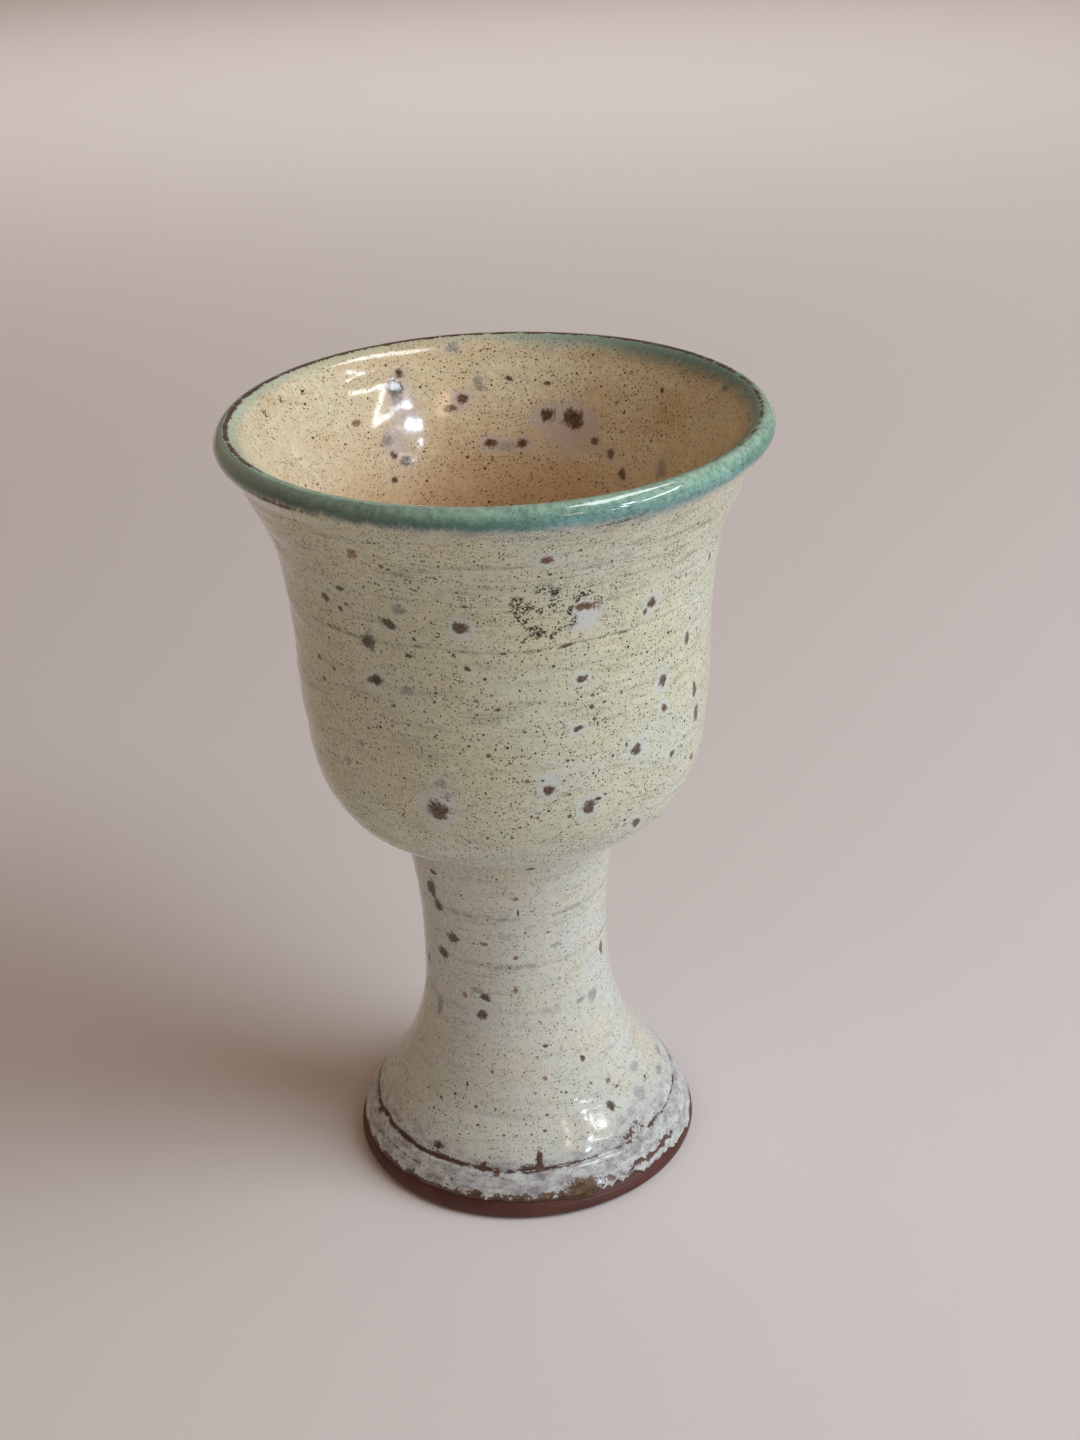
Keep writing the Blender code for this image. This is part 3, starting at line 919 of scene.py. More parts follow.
BOWL_MARKS = spots(
    {
        MarkKind.IRON: (
            (138.8, -10.3, 2.3, 2.2), (138.3, 39.3, 1.8, 1.8), (120.3, 45.3, 1.7, 2.2), (126.4, 19.6, 1.6, 1.1, 15),
            (116.2, 18.3, 1.4, 0.9), (108.2, 36.0, 2.1, 1.7), (103.9, 10.0, 1.9, 1.7), (98.5, 21.4, 2.2, 2.3),
            (90.5, 39.2, 1.5, 2.5, 40), (99.7, -20.0, 3.6, 3.4), (136.9, 37.4, 0.8, 1.2), (99.9, 24.0, 1.3, 0.7),
        ),
        MarkKind.BROWN: ((141.7, 19.0, 2.9, 1.5, -6), (114.5, 45.7, 1.2, 1.6), (153.6, 9.6, 2.2, 1.3)),
        MarkKind.MILK: ((138.9, 19.9, 2.6, 2.2), (106.4, 10.0, 1.5, 1.3), (102.2, -17.8, 1.6, 1.4)),
        MarkKind.RUST: (
            (153.6, -32.8, 1.5, 2.4, -35), (106.5, 4.3, 0.9, 0.7), (123.7, -7.7, 0.7, 0.6), (98.0, 6.9, 0.6, 0.6),
        ),
        MarkKind.DARK: (
            (140.2, -48.6, 1.6, 1.7), (143.8, -41.7, 1.7, 1.1), (138.9, -43.6, 1.1, 1.0), (146.9, -66.0, 1.0, 2.2),
            (138.5, -29.1, 3.2, 1.6, -30), (133.7, -35.8, 2.6, 2.8), (125.5, -35.6, 3.0, 1.6, 10),
            (125.6, -35.0, 1.2, 2.3), (113.7, 60.8, 1.4, 2.8), (107.9, 63.4, 1.8, 3.2), (126.3, 55.9, 1.2, 2.4),
            (140.7, 64.6, 1.0, 1.6), (98.1, 63.5, 1.1, 1.5), (110.1, 32.5, 0.5, 0.9), (103.1, 50.3, 1.3, 1.1),
            (133.9, 15.4, 2.4, 0.5, 12),
        ),
        MarkKind.SMEAR: (
            (142.1, -25.1, 2.2, 2.2), (124.5, -25.9, 2.3, 1.4), (92.0, 31.5, 0.9, 1.1), (91.4, 34.4, 0.8, 0.9),
            (105.8, -18.6, 2.2, 1.6), (103.2, -17.0, 1.2, 1.0), (105.8, -49.0, 1.3, 1.3), (110.8, -42.3, 0.9, 1.5),
            (141.3, 23.4, 0.9, 1.8), (104.6, 38.4, 1.2, 0.6), (99.1, 7.0, 1.3, 0.5), (151.9, -16.9, 1.2, 0.7),
        ),
        MarkKind.CRYSTAL: (
            (145.1, 3.4, 1.9, 1.1, -25), (143.6, 3.7, 2.2, 1.1), (142.5, 2.6, 2.2, 1.0, -8),
            (141.3, 3.5, 1.4, 1.4, 40), (142.2, 4.9, 1.2, 1.4), (143.2, 6.4, 2.2, 1.0, -12),
            (146.8, 9.7, 3.1, 1.4, 15), (145.8, 12.0, 1.4, 1.7), (142.1, 8.8, 0.8, 1.5), (142.8, 11.5, 1.3, 1.3),
            (141.8, 11.5, 1.0, 0.7), (139.9, 4.5, 1.6, 0.9, -20), (138.4, 7.2, 2.6, 1.1), (137.2, 8.3, 2.4, 1.1, 8),
            (136.3, 7.4, 1.3, 0.7), (136.5, 11.8, 0.8, 1.5, -30), (137.3, 13.4, 0.8, 1.3, -35), (135.9, 4.8, 1.3, 0.9),
            (138.9, 17.0, 1.3, 2.5, -25), (144.5, 19.3, 3.2, 1.4), (142.6, 23.0, 1.6, 1.7), (141.7, 16.0, 0.7, 1.3),
            (140.8, 15.8, 0.7, 1.3, 30), (143.5, 17.4, 1.7, 0.9, 35), (160.3, 22.0, 1.9, 1.1, 8),
            (160.7, 24.6, 2.4, 1.2, 6), (161.0, 27.4, 2.1, 1.0, 6), (159.9, 19.6, 1.1, 0.7, 8),
        ),
        MarkKind.SPECK: (
            (130.4, -9.4, 0.9, 0.9), (122.5, 22.4, 0.7, 0.6), (143.8, -8.7, 0.9, 0.6), (150.2, 10.6, 0.7, 0.6),
            (151.7, -26.6, 0.8, 0.8), (146.9, -20.0, 0.9, 0.6), (146.4, -25.7, 0.7, 0.7), (147.2, -29.7, 0.6, 0.6),
            (140.4, -41.2, 1.0, 0.6), (125.3, -57.3, 1.2, 1.0), (121.1, -56.1, 1.0, 0.9), (124.5, -50.6, 1.0, 0.7),
            (132.1, -24.3, 1.3, 0.7), (120.9, -30.2, 0.6, 0.6), (121.9, -2.5, 0.7, 0.6), (112.4, -5.4, 0.8, 0.7),
            (107.5, -4.9, 0.6, 0.5), (93.7, -7.2, 0.6, 0.6), (106.3, 8.5, 0.6, 0.5), (102.2, 15.7, 0.6, 0.6),
            (97.3, 15.7, 0.8, 0.7), (117.4, 22.8, 0.8, 0.8), (120.1, 22.1, 0.7, 0.7), (133.4, -0.2, 1.0, 0.4),
        ),
    }
)
LINER_MARKS = spots(
    {
        MarkKind.IRON: ((149.1, 156.2, 3.9, 3.2), (149.6, 164.3, 2.2, 2.3, -30)),
        MarkKind.BROWN: (
            (144.1, -178.7, 2.2, 1.6), (143.9, 171.4, 2.2, 1.6), (145.6, 148.5, 1.5, 1.4), (143.5, 142.6, 1.8, 1.6),
            (140.1, 137.0, 1.5, 1.8), (159.3, -155.1, 1.8, 1.6), (153.2, -171.2, 2.2, 1.8),
        ),
        MarkKind.DARK: (
            (156.9, -152.8, 2.8, 2.8), (151.4, -167.6, 2.6, 1.2), (142.8, -151.4, 2.2, 1.8), (144.5, -147.4, 1.5, 1.2),
            (139.9, -146.0, 1.3, 1.0), (156.5, 175.5, 1.3, 0.9), (155.7, 164.9, 1.0, 0.8), (157.4, 129.9, 0.8, 1.0),
        ),
        MarkKind.SMEAR: (
            (154.1, -152.5, 2.0, 3.5), (156.0, -176.0, 1.8, 2.6), (144.0, 121.5, 2.6, 3.6), (147.5, -146.6, 2.4, 2.0),
        ),
        MarkKind.LILAC: ((143.6, 176.3, 4.0, 1.8),),
        MarkKind.MILK: (
            (147.6, 156.4, 5.2, 4.6), (148.9, 165.6, 2.8, 2.2), (153.0, -154.0, 2.6, 4.6), (146.6, -149.0, 2.6, 2.8),
        ),
        MarkKind.RUST: ((152.4, -138.1, 1.8, 1.4),),
    }
)
RIM_MARKS = spots(
    {
        MarkKind.SMEAR: ((162.5, -170.3, 2.6, 1.6), (162.2, 106.8, 2.5, 1.2)),
        MarkKind.CRYSTAL: ((160.9, -125.3, 1.4, 1.3), (161.5, -116.2, 1.3, 1.2), (161.2, -107.0, 1.0, 1.5)),
    }
)
PEDESTAL_MARKS = spots(
    {
        MarkKind.DARK: (
            (72.1, -49.5, 1.8, 0.8), (67.1, -54.4, 2.2, 4.0, -10), (63.8, -50.6, 2.0, 2.4), (56.6, -41.2, 2.3, 2.2),
            (46.5, -71.1, 1.3, 2.3), (37.9, -80.1, 1.3, 2.0), (43.9, -20.3, 2.0, 1.5, -25), (48.1, 66.4, 1.3, 2.7),
            (65.4, 1.9, 0.4, 1.6), (16.5, 39.5, 1.6, 2.4, 20), (27.3, 33.8, 1.1, 1.2), (8.9, -74.4, 2.0, 1.6),
        ),
        MarkKind.PIT: ((51.6, -51.0, 2.4, 2.1), (11.3, -37.0, 2.1, 1.3)),
        MarkKind.IRON: ((39.3, -23.3, 1.8, 1.9),),
        MarkKind.MILK: ((39.3, -26.5, 1.8, 1.8),),
        MarkKind.RUST: (
            (43.2, -34.5, 1.0, 1.1), (68.9, 0.6, 0.9, 0.9), (54.0, -0.7, 1.0, 0.8), (46.0, -1.4, 0.7, 1.5),
            (57.2, -19.6, 1.2, 0.8), (25.6, 10.5, 0.7, 0.9), (22.0, 34.1, 0.7, 0.7), (9.0, -12.0, 0.7, 1.4),
            (20.6, 44.0, 1.1, 1.1),
        ),
        MarkKind.SMEAR: (
            (37.5, -56.8, 1.6, 4.3), (45.3, -26.1, 2.0, 1.1), (39.1, 50.9, 2.4, 2.3), (39.9, 39.8, 1.9, 1.0),
            (55.7, 24.6, 1.9, 1.0), (14.0, 78.8, 3.2, 1.3), (14.2, 91.5, 3.3, 1.6), (30.9, 22.2, 0.6, 0.6),
        ),
        MarkKind.LILAC: (
            (15.0, 57.0, 2.6, 2.8), (13.3, 40.2, 2.5, 1.6), (13.7, 47.7, 2.5, 1.5), (19.0, 64.0, 3.2, 1.9),
        ),
        MarkKind.SPECK: (
            (59.3, 19.8, 0.6, 0.5), (32.3, 13.2, 0.9, 0.7), (76.3, 8.7, 1.4, 0.4), (18.8, 47.4, 0.8, 0.5),
            (16.1, 66.3, 1.0, 0.6), (15.8, 7.1, 0.7, 0.5), (15.8, 20.3, 0.4, 0.5), (18.5, 9.2, 0.5, 0.5),
            (22.2, 17.6, 0.4, 0.4), (23.4, -30.4, 0.5, 0.9), (27.0, -17.1, 0.5, 0.7), (19.3, -53.1, 0.6, 0.4),
            (16.6, -45.8, 0.6, 0.6), (19.0, -43.6, 0.6, 0.5), (16.4, -22.2, 0.5, 0.5), (15.2, -10.4, 0.6, 0.5),
            (20.8, -36.3, 0.6, 0.5), (19.6, -24.4, 0.7, 0.6), (14.2, -29.4, 0.4, 0.4),
        ),
    }
)


@dataclass
class Bowl:
    """The thrown cup: sizes of its section, and its three coats of glaze."""

    base: float = 78.6
    height: float = 85.4
    wall_radii: tuple[float, ...] = (21.0, 26.2, 33.9, 37.4, 39.8, 41.0, 43.0, 47.3, 49.7, 52.4)
    wall_heights: tuple[float, ...] = (0.0, 2.4, 7.2, 13.5, 27.7, 51.4, 64.6, 75.3, 79.9, 84.1)
    crest_radius: float = 51.3
    lip_thickness: float = 3.0
    inner_walls: tuple[tuple[float, float], ...] = ((79.9, 3.0), (75.3, 3.0), (51.4, 4.2), (27.7, 4.2), (13.5, 5.2))
    floor_radius: float = 15.0
    floor_thickness: float = 7.0
    coat: float = 0.9
    rim_coat: float = 1.0
    line_height: float = 133.8
    line_reach: float = 0.9
    band_top: float = 161.4
    band_foot: float = 160.4
    pitch: float = 0.56
    line_pitch: float = 0.12
    rim_pitch: float = 0.2
    pit_depth: float = 0.25
    lower_edge: tuple[tuple[float, float], ...] = ((1.0, 0.34), (1.04, 0.58), (1.18, 0.78), (1.45, 0.88))
    full_coat: float = 1.8

    def __post_init__(self) -> None:
        """Lay out the section and the places on it."""
        outside = [(radius, self.base + up) for radius, up in zip(self.wall_radii, self.wall_heights)]
        outer = Contour(outside)
        inside = [outer.lifted(outer.reach(self.base + up), -wall) for up, wall in self.inner_walls]
        top = self.base + self.height
        lip_radius, lip_height = outside[-1]
        lip = [(self.crest_radius, top), (lip_radius - self.lip_thickness, (lip_height + top) / 2)]
        floor = [(radius, self.base + self.floor_thickness) for radius in (self.floor_radius, 0.0)]
        self.contour = Contour([*outside, *lip, *inside, *floor])
        self.crest = float(self.contour.knots[len(outside)])
        self.band_start = self.contour.reach(self.band_top)
        self.band_end = self.contour.reach(self.band_foot, self.crest)

    def face(self, lengths: Iterable[float]) -> Rows:
        """Return these lengths, each with how far the coats' faces stand off the clay there."""
        rows = []
        for along in lengths:
            banded = ease(along, self.band_start - 1.0, self.band_start + 1.0)
            banded *= ease(along, self.band_end + 1.0, self.band_end - 1.0)
            rows.append((along, self.coat + (self.rim_coat - self.coat) * float(banded)))
        return rows

    def line_at(self, skin: Skin) -> Array:
        """Return the height at which the tool's line runs."""
        return self.line_height + 0.2 * Wander(30.0, 11).at(skin.even)

    def relief(self, skin: Skin) -> Array:
        """Return the throwing rings, the sway of the wall and the tool's line, in millimetres.

        Args:
            skin: The coat.

        Returns:
            The relief at each vertex.
        """
        places, height = skin.even, skin.even[:, 2]
        turn = skin.bearing / 360.0
        past = skin.along - self.crest
        within = ease(past, -1.0, 3.0)
        calm = ease(past, -3.0, -14.0) + ease(past, 2.0, 12.0)
        drift = Wander(26.0, 3).at(places)
        waver = Wander(14.0, 5, 0.6).at(places)
        outer_rings = 0.045 * np.sin(math.tau * (height / 3.1 + turn) + 0.9 * waver) * (0.6 + 0.4 * drift)
        outer_rings += 0.05 * np.sin(math.tau * (height / 8.7 + turn) + 0.8 * drift)
        inner_rings = 0.06 * np.sin(math.tau * (height / 8.0 - turn) + 0.9 * waver) * (0.7 + 0.3 * drift)
        rings = calm * (outer_rings * (1.0 - within) + inner_rings * within)
        sway = (0.07 * Wander(48.0, 7).at(places) + 0.02 * Wander(7.0, 8).at(places)) * (0.35 + 0.65 * calm)
        firm = 0.65 + 0.35 * np.clip(Wander(22.0, 12).at(places), -1, 1)
        line = -0.3 * firm * (1.0 - within) * bump(height, self.line_at(skin), 0.36)
        return rings + sway + line - 0.14 * (1.0 - calm)

    def band_width(self, skin: Skin) -> tuple[Array, Array]:
        """Return how far the green runs from the crest at each vertex, and how strong it is.

        Args:
            skin: The coat.

        Returns:
            The band's width in millimetres and its strength.
        """
        bearings = (-180, -120, -73, -49, -35, -22, -10, 0, 15, 23, 31, 38, 46, 56, 70, 90, 130, 180)
        widths = (2.9, 2.6, 2.4, 2.3, 2.3, 2.5, 2.85, 3.0, 3.2, 3.6, 4.4, 4.4, 3.8, 3.1, 2.8, 2.9, 2.6, 2.9)
        inner_bearings = (-180, -165, -135, -110, -85, -40, 0, 40, 81, 93, 118, 133, 151, 172, 180)
        inner_widths = (1.7, 1.3, 1.5, 1.7, 1.7, 1.8, 2.2, 2.0, 1.8, 2.2, 2.8, 3.0, 2.6, 2.3, 1.7)
        inner_strengths = (0.5, 0.35, 0.5, 0.7, 0.75, 0.9, 0.9, 1.0, 1.0, 1.0, 1.0, 1.0, 0.95, 0.85, 0.5)
        within = skin.along > self.crest
        outside, inside, strength = (
            np.interp(skin.bearing, *table)
            for table in ((bearings, widths), (inner_bearings, inner_widths), (inner_bearings, inner_strengths))
        )
        fading = 1.0 + (strength - 1.0) * ease(skin.along, self.crest, self.crest + 0.8)
        width = np.where(within, inside, outside) + 0.14 * Wander(6.0, 21).at(skin.even)
        return width, np.where(within, fading, 1.0)

    def paint(self, skin: Skin) -> None:
        """Paint the fields that the glaze reads: the green band, the washes, the tone and the rim's shades, the last
        two with painted light and shade.

        Args:
            skin: The coat.
        """
        height, bearing = skin.even[:, 2], skin.bearing
        past = skin.along - self.crest
        within = (past > 0).astype(float)
        outside = 1.0 - within
        width, strength = self.band_width(skin)
        # On the rim this blends outside colours to inside ones; in the liner the deep tone grows towards the bottom,
        # darker and warmer there. On the shaded inside right it is held back: painted light.
        depth = ease(past, -0.4, 1.2) if skin.along.min() < self.crest else ease(height, 160.0, 134.0)
        depth = depth * (1.0 - 0.6 * ease(past, 3.0, 8.0) * around(bearing, 112.0, 42.0))
        skin.paint("band", np.abs(past) / width, depth, strength)
        flicker = 0.16 * Wander(3.0, 31).at(skin.even)
        turns = (-180, -112, -66, -45, 50, 66, 90, 130, 180)
        side = np.interp(bearing, turns, (0.8, 0.95, 0.85, 0.2, 0.1, 0.5, 0.62, 0.85, 0.8))
        rust = (side + flicker) * bump(past, 0.5, np.interp(bearing, (-60, 40, 80, 120), (0.38, 0.38, 0.32, 0.38)))
        rust += 0.75 * bump(past, -2.7, 0.5) * around(bearing, -48.0, 12.0)
        under = -past - width
        lilac = outside * ease(under, -0.3, 0.8) * ease(under, 4.2, 0.6)
        lilac_side = np.interp(bearing, (-90, -22, 8, 24, 50, 100), (0.15, 0.2, 0.6, 0.7, 0.3, 0.15))
        lilac *= lilac_side * (0.85 + 2.0 * flicker)
        skin.paint("wash", rust, lilac)
        tool = outside * bump(height, self.line_at(skin), 0.3)
        upper = bump(height, 149.0, 9.0)
        # Partly the darker throwing streaks that the glaze has there, partly painted shade: the upper right flare
        # under the rim gets more streaks and a less pale tone.
        shaded = outside * around(bearing, 50.0, 26.0) * bump(height, 150.0, 9.0)
        streak = np.where(within > 0, 0.2, 0.42) + outside * (0.5 * upper + 0.2 * bump(height, 120.0, 6.0))
        streak += 0.2 * shaded
        sparse = 0.45 * around(bearing, -120.0, 45.0)
        density = np.where(within > 0, 1.08 - sparse, 1.1 + 0.5 * tool + 0.2 * upper) * ease(np.abs(past), -0.4, 2.2)
        cool = around(bearing, 27.0, 17.0) * ease(height, 144.0, 154.0)
        # Painted light: inside, the pale tone is raised on the inside left, which faces the window, and on the shaded
        # inside right.
        lit = 0.2 + (0.8 * around(bearing, -112.0, 42.0) + 0.9 * around(bearing, 128.0, 42.0))
        milky = 0.12 + 0.7 * ease(height, 97.0, 84.0) + 0.2 * cool
        pale = np.where(within > 0, lit * ease(height, 130.0, 151.0), milky)
        # Painted shade: the outside is made less pale on its shaded left, above a height of about 100 mm.
        pale -= 0.4 * outside * np.interp(bearing, (-180, -120, -40, 0), (0, 1, 1, 0)) * ease(height, 92.0, 104.0)
        pale -= 0.5 * shaded
        skin.paint("tone", density, pale, streak)
        # The band's greyer colour on the shaded left: partly its own, partly painted shade at the front left and
        # painted light at the far left; inside, a little darker at the back.
        turns = (-180, -130, -76, -44, -28, -6, 120, 180)
        dull_and_painted_shade = outside * np.interp(bearing, turns, (0.3, 0.84, 0.84, 0.5, 0.5, 0.0, 0.0, 0.3))
        dull_and_painted_shade += 0.12 * within * ease(np.abs(bearing), 90.0, 120.0)
        turns = (-180, -160, -120, -60, 0, 60, 110, 140, 180)
        blue = outside * ease(bearing, -4.0, 14.0) * ease(bearing, 62.0, 44.0)
        # Inside, painted light and shade: high where the band's inner wall faces the window, low on the shaded inside
        # right.
        blue += within * np.interp(bearing, turns, (0.7, 0.9, 1.0, 1.0, 0.6, 0.2, 0.0, 0.1, 0.7))
        turns = (-180, -75, -45, -12, 3, 8, 22, 33, 38, 60, 68, 90, 180)
        line_strengths = (0.7, 1.3, 1.2, 0.7, 0.25, 0.5, 0.6, 0.8, 0.15, 0.1, 0.8, 0.8, 0.7)
        skin.paint("rim", dull_and_painted_shade, blue, tool * np.interp(bearing, turns, line_strengths) * (0.72 + 3.0 * flicker))

    def dress(self, name: str, front: Rows, glaze: StonewareGlaze, marks: MarkSet, start: float) -> Piece:
        """Make one coat of the cup.

        Args:
            name: Name of the piece.
            front: Along and lift of each front row.
            glaze: Its finish.
            marks: Its spots.
            start: Length past which a spot's height is looked for.

        Returns:
            The coat.
        """
        skin = Skin.spin(name, self.contour, coat_rows(front))
        self.paint(skin)
        relief = self.relief(skin) - self.pit_depth * marks.paint(skin, start)
        return skin.finish(skin.places(skin.along, skin.lift + relief * skin.front), glaze.build())

    def build(self) -> dict[str, Piece]:
        """Build the three coats.

        Returns:
            The coats by the name of the CAD node that each stands for.
        """
        start, end, last = self.band_start, self.band_end, self.contour.length
        above, below = (self.contour.reach(self.line_height + reach) for reach in (self.line_reach, -self.line_reach))
        wall = [*span(self.full_coat, below, self.pitch), *span(below, above, self.line_pitch)]
        outer = [*self.lower_edge, *self.face([*wall, *span(above, start, self.pitch), start])]
        rim = self.face([*span(start, end, self.rim_pitch), end])
        liner = [*self.face(span(end, last, self.pitch)), (last, self.coat)]
        outside = MarkSet(BOWL_MARKS + scattered(41, 46, (84.0, 156.0), (68.0, 288.0)))
        inside = MarkSet(LINER_MARKS + scattered(43, 30, (92.0, 156.0), (-100.0, 100.0)))
        return {
            "bowl_outer_glaze": self.dress("oatmeal_coat", outer, OATMEAL, outside, 0.0),
            "rim_glaze": self.dress("copper_green_rim", rim, COPPER_GREEN, MarkSet(RIM_MARKS), self.crest),
            "bowl_liner_glaze": self.dress("honey_liner", liner, HONEY, inside, self.crest),
        }


# Rust on the foot: height, bearing, half height, half width in degrees, and strength
FOOT_RUST = (
    (12.0, 3.8, 1.5, 1.6, 0.9), (10.4, 0.0, 0.8, 4.5, 0.7), (10.3, -17.5, 1.1, 2.0, 0.9), (9.0, -12.5, 0.8, 1.0, 0.8),
    (10.4, -34.0, 0.7, 4.0, 0.6), (11.2, 41.0, 0.9, 3.5, 0.7), (12.3, 46.0, 0.9, 3.0, 0.6),
    (10.9, 49.0, 0.7, 3.0, 0.5),
)
# Lines thrown into the stem: height, depth, half width of their colour, and its strength
STEM_LINES = ((63.6, 0.07, 0.5, 1.0), (51.7, 0.09, 0.55, 1.0), (40.1, 0.06, 0.6, 0.7), (73.2, 0.05, 0.5, 0.5))


@dataclass
class Pedestal:
    """The thrown stem and foot: sizes of its section, its bare clay, its coat of glaze and the bead at the joint."""

    radii: tuple[float, ...] = (36.0, 36.5, 35.1, 33.2, 31.2, 25.7, 20.1, 18.7, 21.0)
    heights: tuple[float, ...] = (0.0, 1.4, 4.2, 7.4, 11.0, 18.5, 32.8, 54.0, 77.2)
    inner_heights: tuple[float, ...] = (70.0, 54.0, 32.8, 18.5, 11.0, 5.0)
    wall: float = 4.8
    foot_ring: float = 5.6
    coat: float = 0.9
    edge_height: float = 3.6
    groove_height: float = 9.9
    second_line: float = 7.1
    pit_depth: float = 0.22
    roll_rise: float = 0.26
    stem_aside: float = -0.4
    foot_aside: float = 0.45
    lower_edge: tuple[tuple[float, float], ...] = ((0.0, 0.36), (0.03, 0.5), (0.12, 0.66), (0.27, 0.8))
    toe: tuple[tuple[float, float], ...] = ((33.5, 0.0), (35.2, 0.0), (35.75, 0.12), (36.2, 0.55))
    top: tuple[tuple[float, float], ...] = ((21.0, 76.9), (20.6, 77.2), (16.6, 77.2), (16.2, 76.8))
    heel: tuple[tuple[float, float], ...] = ((0.05, 1.4), (0.2, 0.5), (0.7, 0.08), (1.3, 0.0), (3.0, 0.0))
    bead: tuple[tuple[float, float], ...] = (
        *((17.0, 77.45), (20.8, 77.4), (21.7, 77.42), (22.1, 77.62)),
        *((22.15, 77.9), (21.8, 78.2), (21.0, 78.3), (17.0, 78.3)),
    )

    def __post_init__(self) -> None:
        """Lay out the section."""
        self.contour = Contour(list(zip(self.radii, self.heights)))

    def lean(self, places: Array) -> Array:
        """Return the places with the foot set slightly off the cup's axis, as the hand-joined stem stands."""
        moved = places.copy()
        asides = (self.foot_aside, self.foot_aside, self.stem_aside, self.stem_aside, 0.0)
        moved[:, 0] += np.interp(places[:, 2], (0.0, 14.0, 45.0, 74.0, 78.0), asides)
        return moved

    def edge(self, bearing: Array) -> Array:
        """Return the height at which the glaze ends above the bare foot."""
        bearings = (-180, -120, -80, -52, -30, -11, 8, 20, 24, 35, 48, 62, 75, 95, 140, 180)
        heights = (3.9, 3.3, 3.6, 3.7, 3.8, 3.9, 3.6, 3.15, 3.6, 3.7, 3.5, 3.2, 2.7, 3.1, 4.1, 3.9)
        return np.interp(bearing, bearings, heights)

    def groove_at(self, skin: Skin) -> Array:
        """Return the height at which the groove above the foot runs."""
        return self.groove_height + 0.16 * Wander(9.0, 56).at(skin.even)

    def relief(self, skin: Skin) -> Array:
        """Return the stem's throwing lines, the foot's ledge and the sway of the wall, in millimetres.

        Args:
            skin: The coat.

        Returns:
            The relief at each vertex.
        """
        places, height = skin.even, skin.even[:, 2]
        turn = skin.bearing / 360.0
        drift = Wander(17.0, 53).at(places)
        rings = 0.03 * np.sin(math.tau * (height / 2.7 + turn) + 1.0 * drift) * ease(height, 13.0, 22.0)
        sway = 0.06 * Wander(30.0, 54).at(places) + 0.02 * Wander(6.0, 55).at(places)
        lines = np.zeros_like(height)
        for middle, depth, _, _ in STEM_LINES:
            lines -= depth * bump(height - middle - 0.25 * drift, 0.0, 0.5)
        wavy = self.groove_at(skin)
        ledge = -0.6 * bump(height, wavy, 0.5)
        ledge += 0.22 * ease(height, wavy - 0.2, wavy - 0.9) * ease(height, 3.8, 5.5)
        left = around(skin.bearing, -52.0, 42.0)
        second = -0.16 * left * bump(height - self.second_line - 0.2 * drift, 0.0, 0.4)
        return rings + sway + lines + ledge + second

    def rust(self, skin: Skin, above: Array) -> tuple[Array, Array]:
        """Return where the clay's rust shows through, and where a thick run trails along the edge.

        Args:
            skin: The coat.
            above: How far each vertex lies above the glaze's lower edge.

        Returns:
            The rust and the trailing run at each vertex.
        """
        height, bearing = skin.even[:, 2], skin.bearing
        flicker = Wander(3.6, 61).at(skin.even)
        turns = (-180, -100, -75, -60, -40, -22, -10, 0, 12, 25, 33, 45, 60, 90, 180)
        strengths = (0.7, 0.85, 0.9, 0.95, 1.05, 0.85, 0.6, 1.0, 0.8, 0.6, 0.52, 0.64, 0.6, 0.65, 0.7)
        widths = np.interp(bearing, (-180, -60, -30, 40, 70, 180), (0.42, 0.48, 0.42, 0.34, 0.38, 0.42))
        rust = (np.interp(bearing, turns, strengths) + 0.22 * flicker) * bump(height, self.groove_at(skin), widths)
        for middle, turn, tall, wide, strength in FOOT_RUST:
            rust += strength * bump(height, middle, tall) * around(bearing, turn, wide)
        second = height - self.second_line - 0.2 * Wander(9.0, 62).at(skin.even)
        rust += 0.5 * around(bearing, -52.0, 42.0) * bump(second, 0.0, 0.4)
        trail_height = np.interp(bearing, (20, 30, 55, 70), (5.1, 5.4, 5.9, 6.2)) + 0.22 * flicker
        trailing = ease(bearing, 20.0, 27.0) * ease(bearing, 72.0, 58.0)
        rust += (0.92 + 0.3 * flicker) * bump(height, trail_height, 0.5) * trailing
        turns = (-180, -100, -80, -60, 15, 22, 28, 68, 80, 120, 180)
        thin = np.interp(bearing, turns, (0.8, 0.8, 0.9, 1, 1, 0.6, 0.1, 0.15, 0.6, 0.8, 0.8))
        reach = np.interp(bearing, (-180, -60, -20, 0, 180), (1.6, 1.9, 1.6, 1.3, 1.6))
        return rust + thin * (1.05 + 0.3 * flicker) * ease(above, reach, 0.2), trailing

    def ochre(self, skin: Skin, above: Array) -> Array:
        """Return where the glaze ran thin and honey-brown over the foot.

        Args:
            skin: The coat.
            above: How far each vertex lies above the glaze's lower edge.

        Returns:
            The strength at each vertex.
        """
        height, bearing = skin.even[:, 2], skin.bearing
        flicker = Wander(3.6, 61).at(skin.even)
        patch = (1.0 + 0.2 * flicker) * around(bearing, 17.5, 7.5) * ease(height, 8.4, 6.0)
        edge = (0.5 + 0.25 * flicker) * bump(above, 1.2, 0.7) * around(bearing, -12.0, 50.0)
        return patch + edge + 0.4 * bump(above, 1.1, 0.8) * around(bearing, 150.0, 60.0)

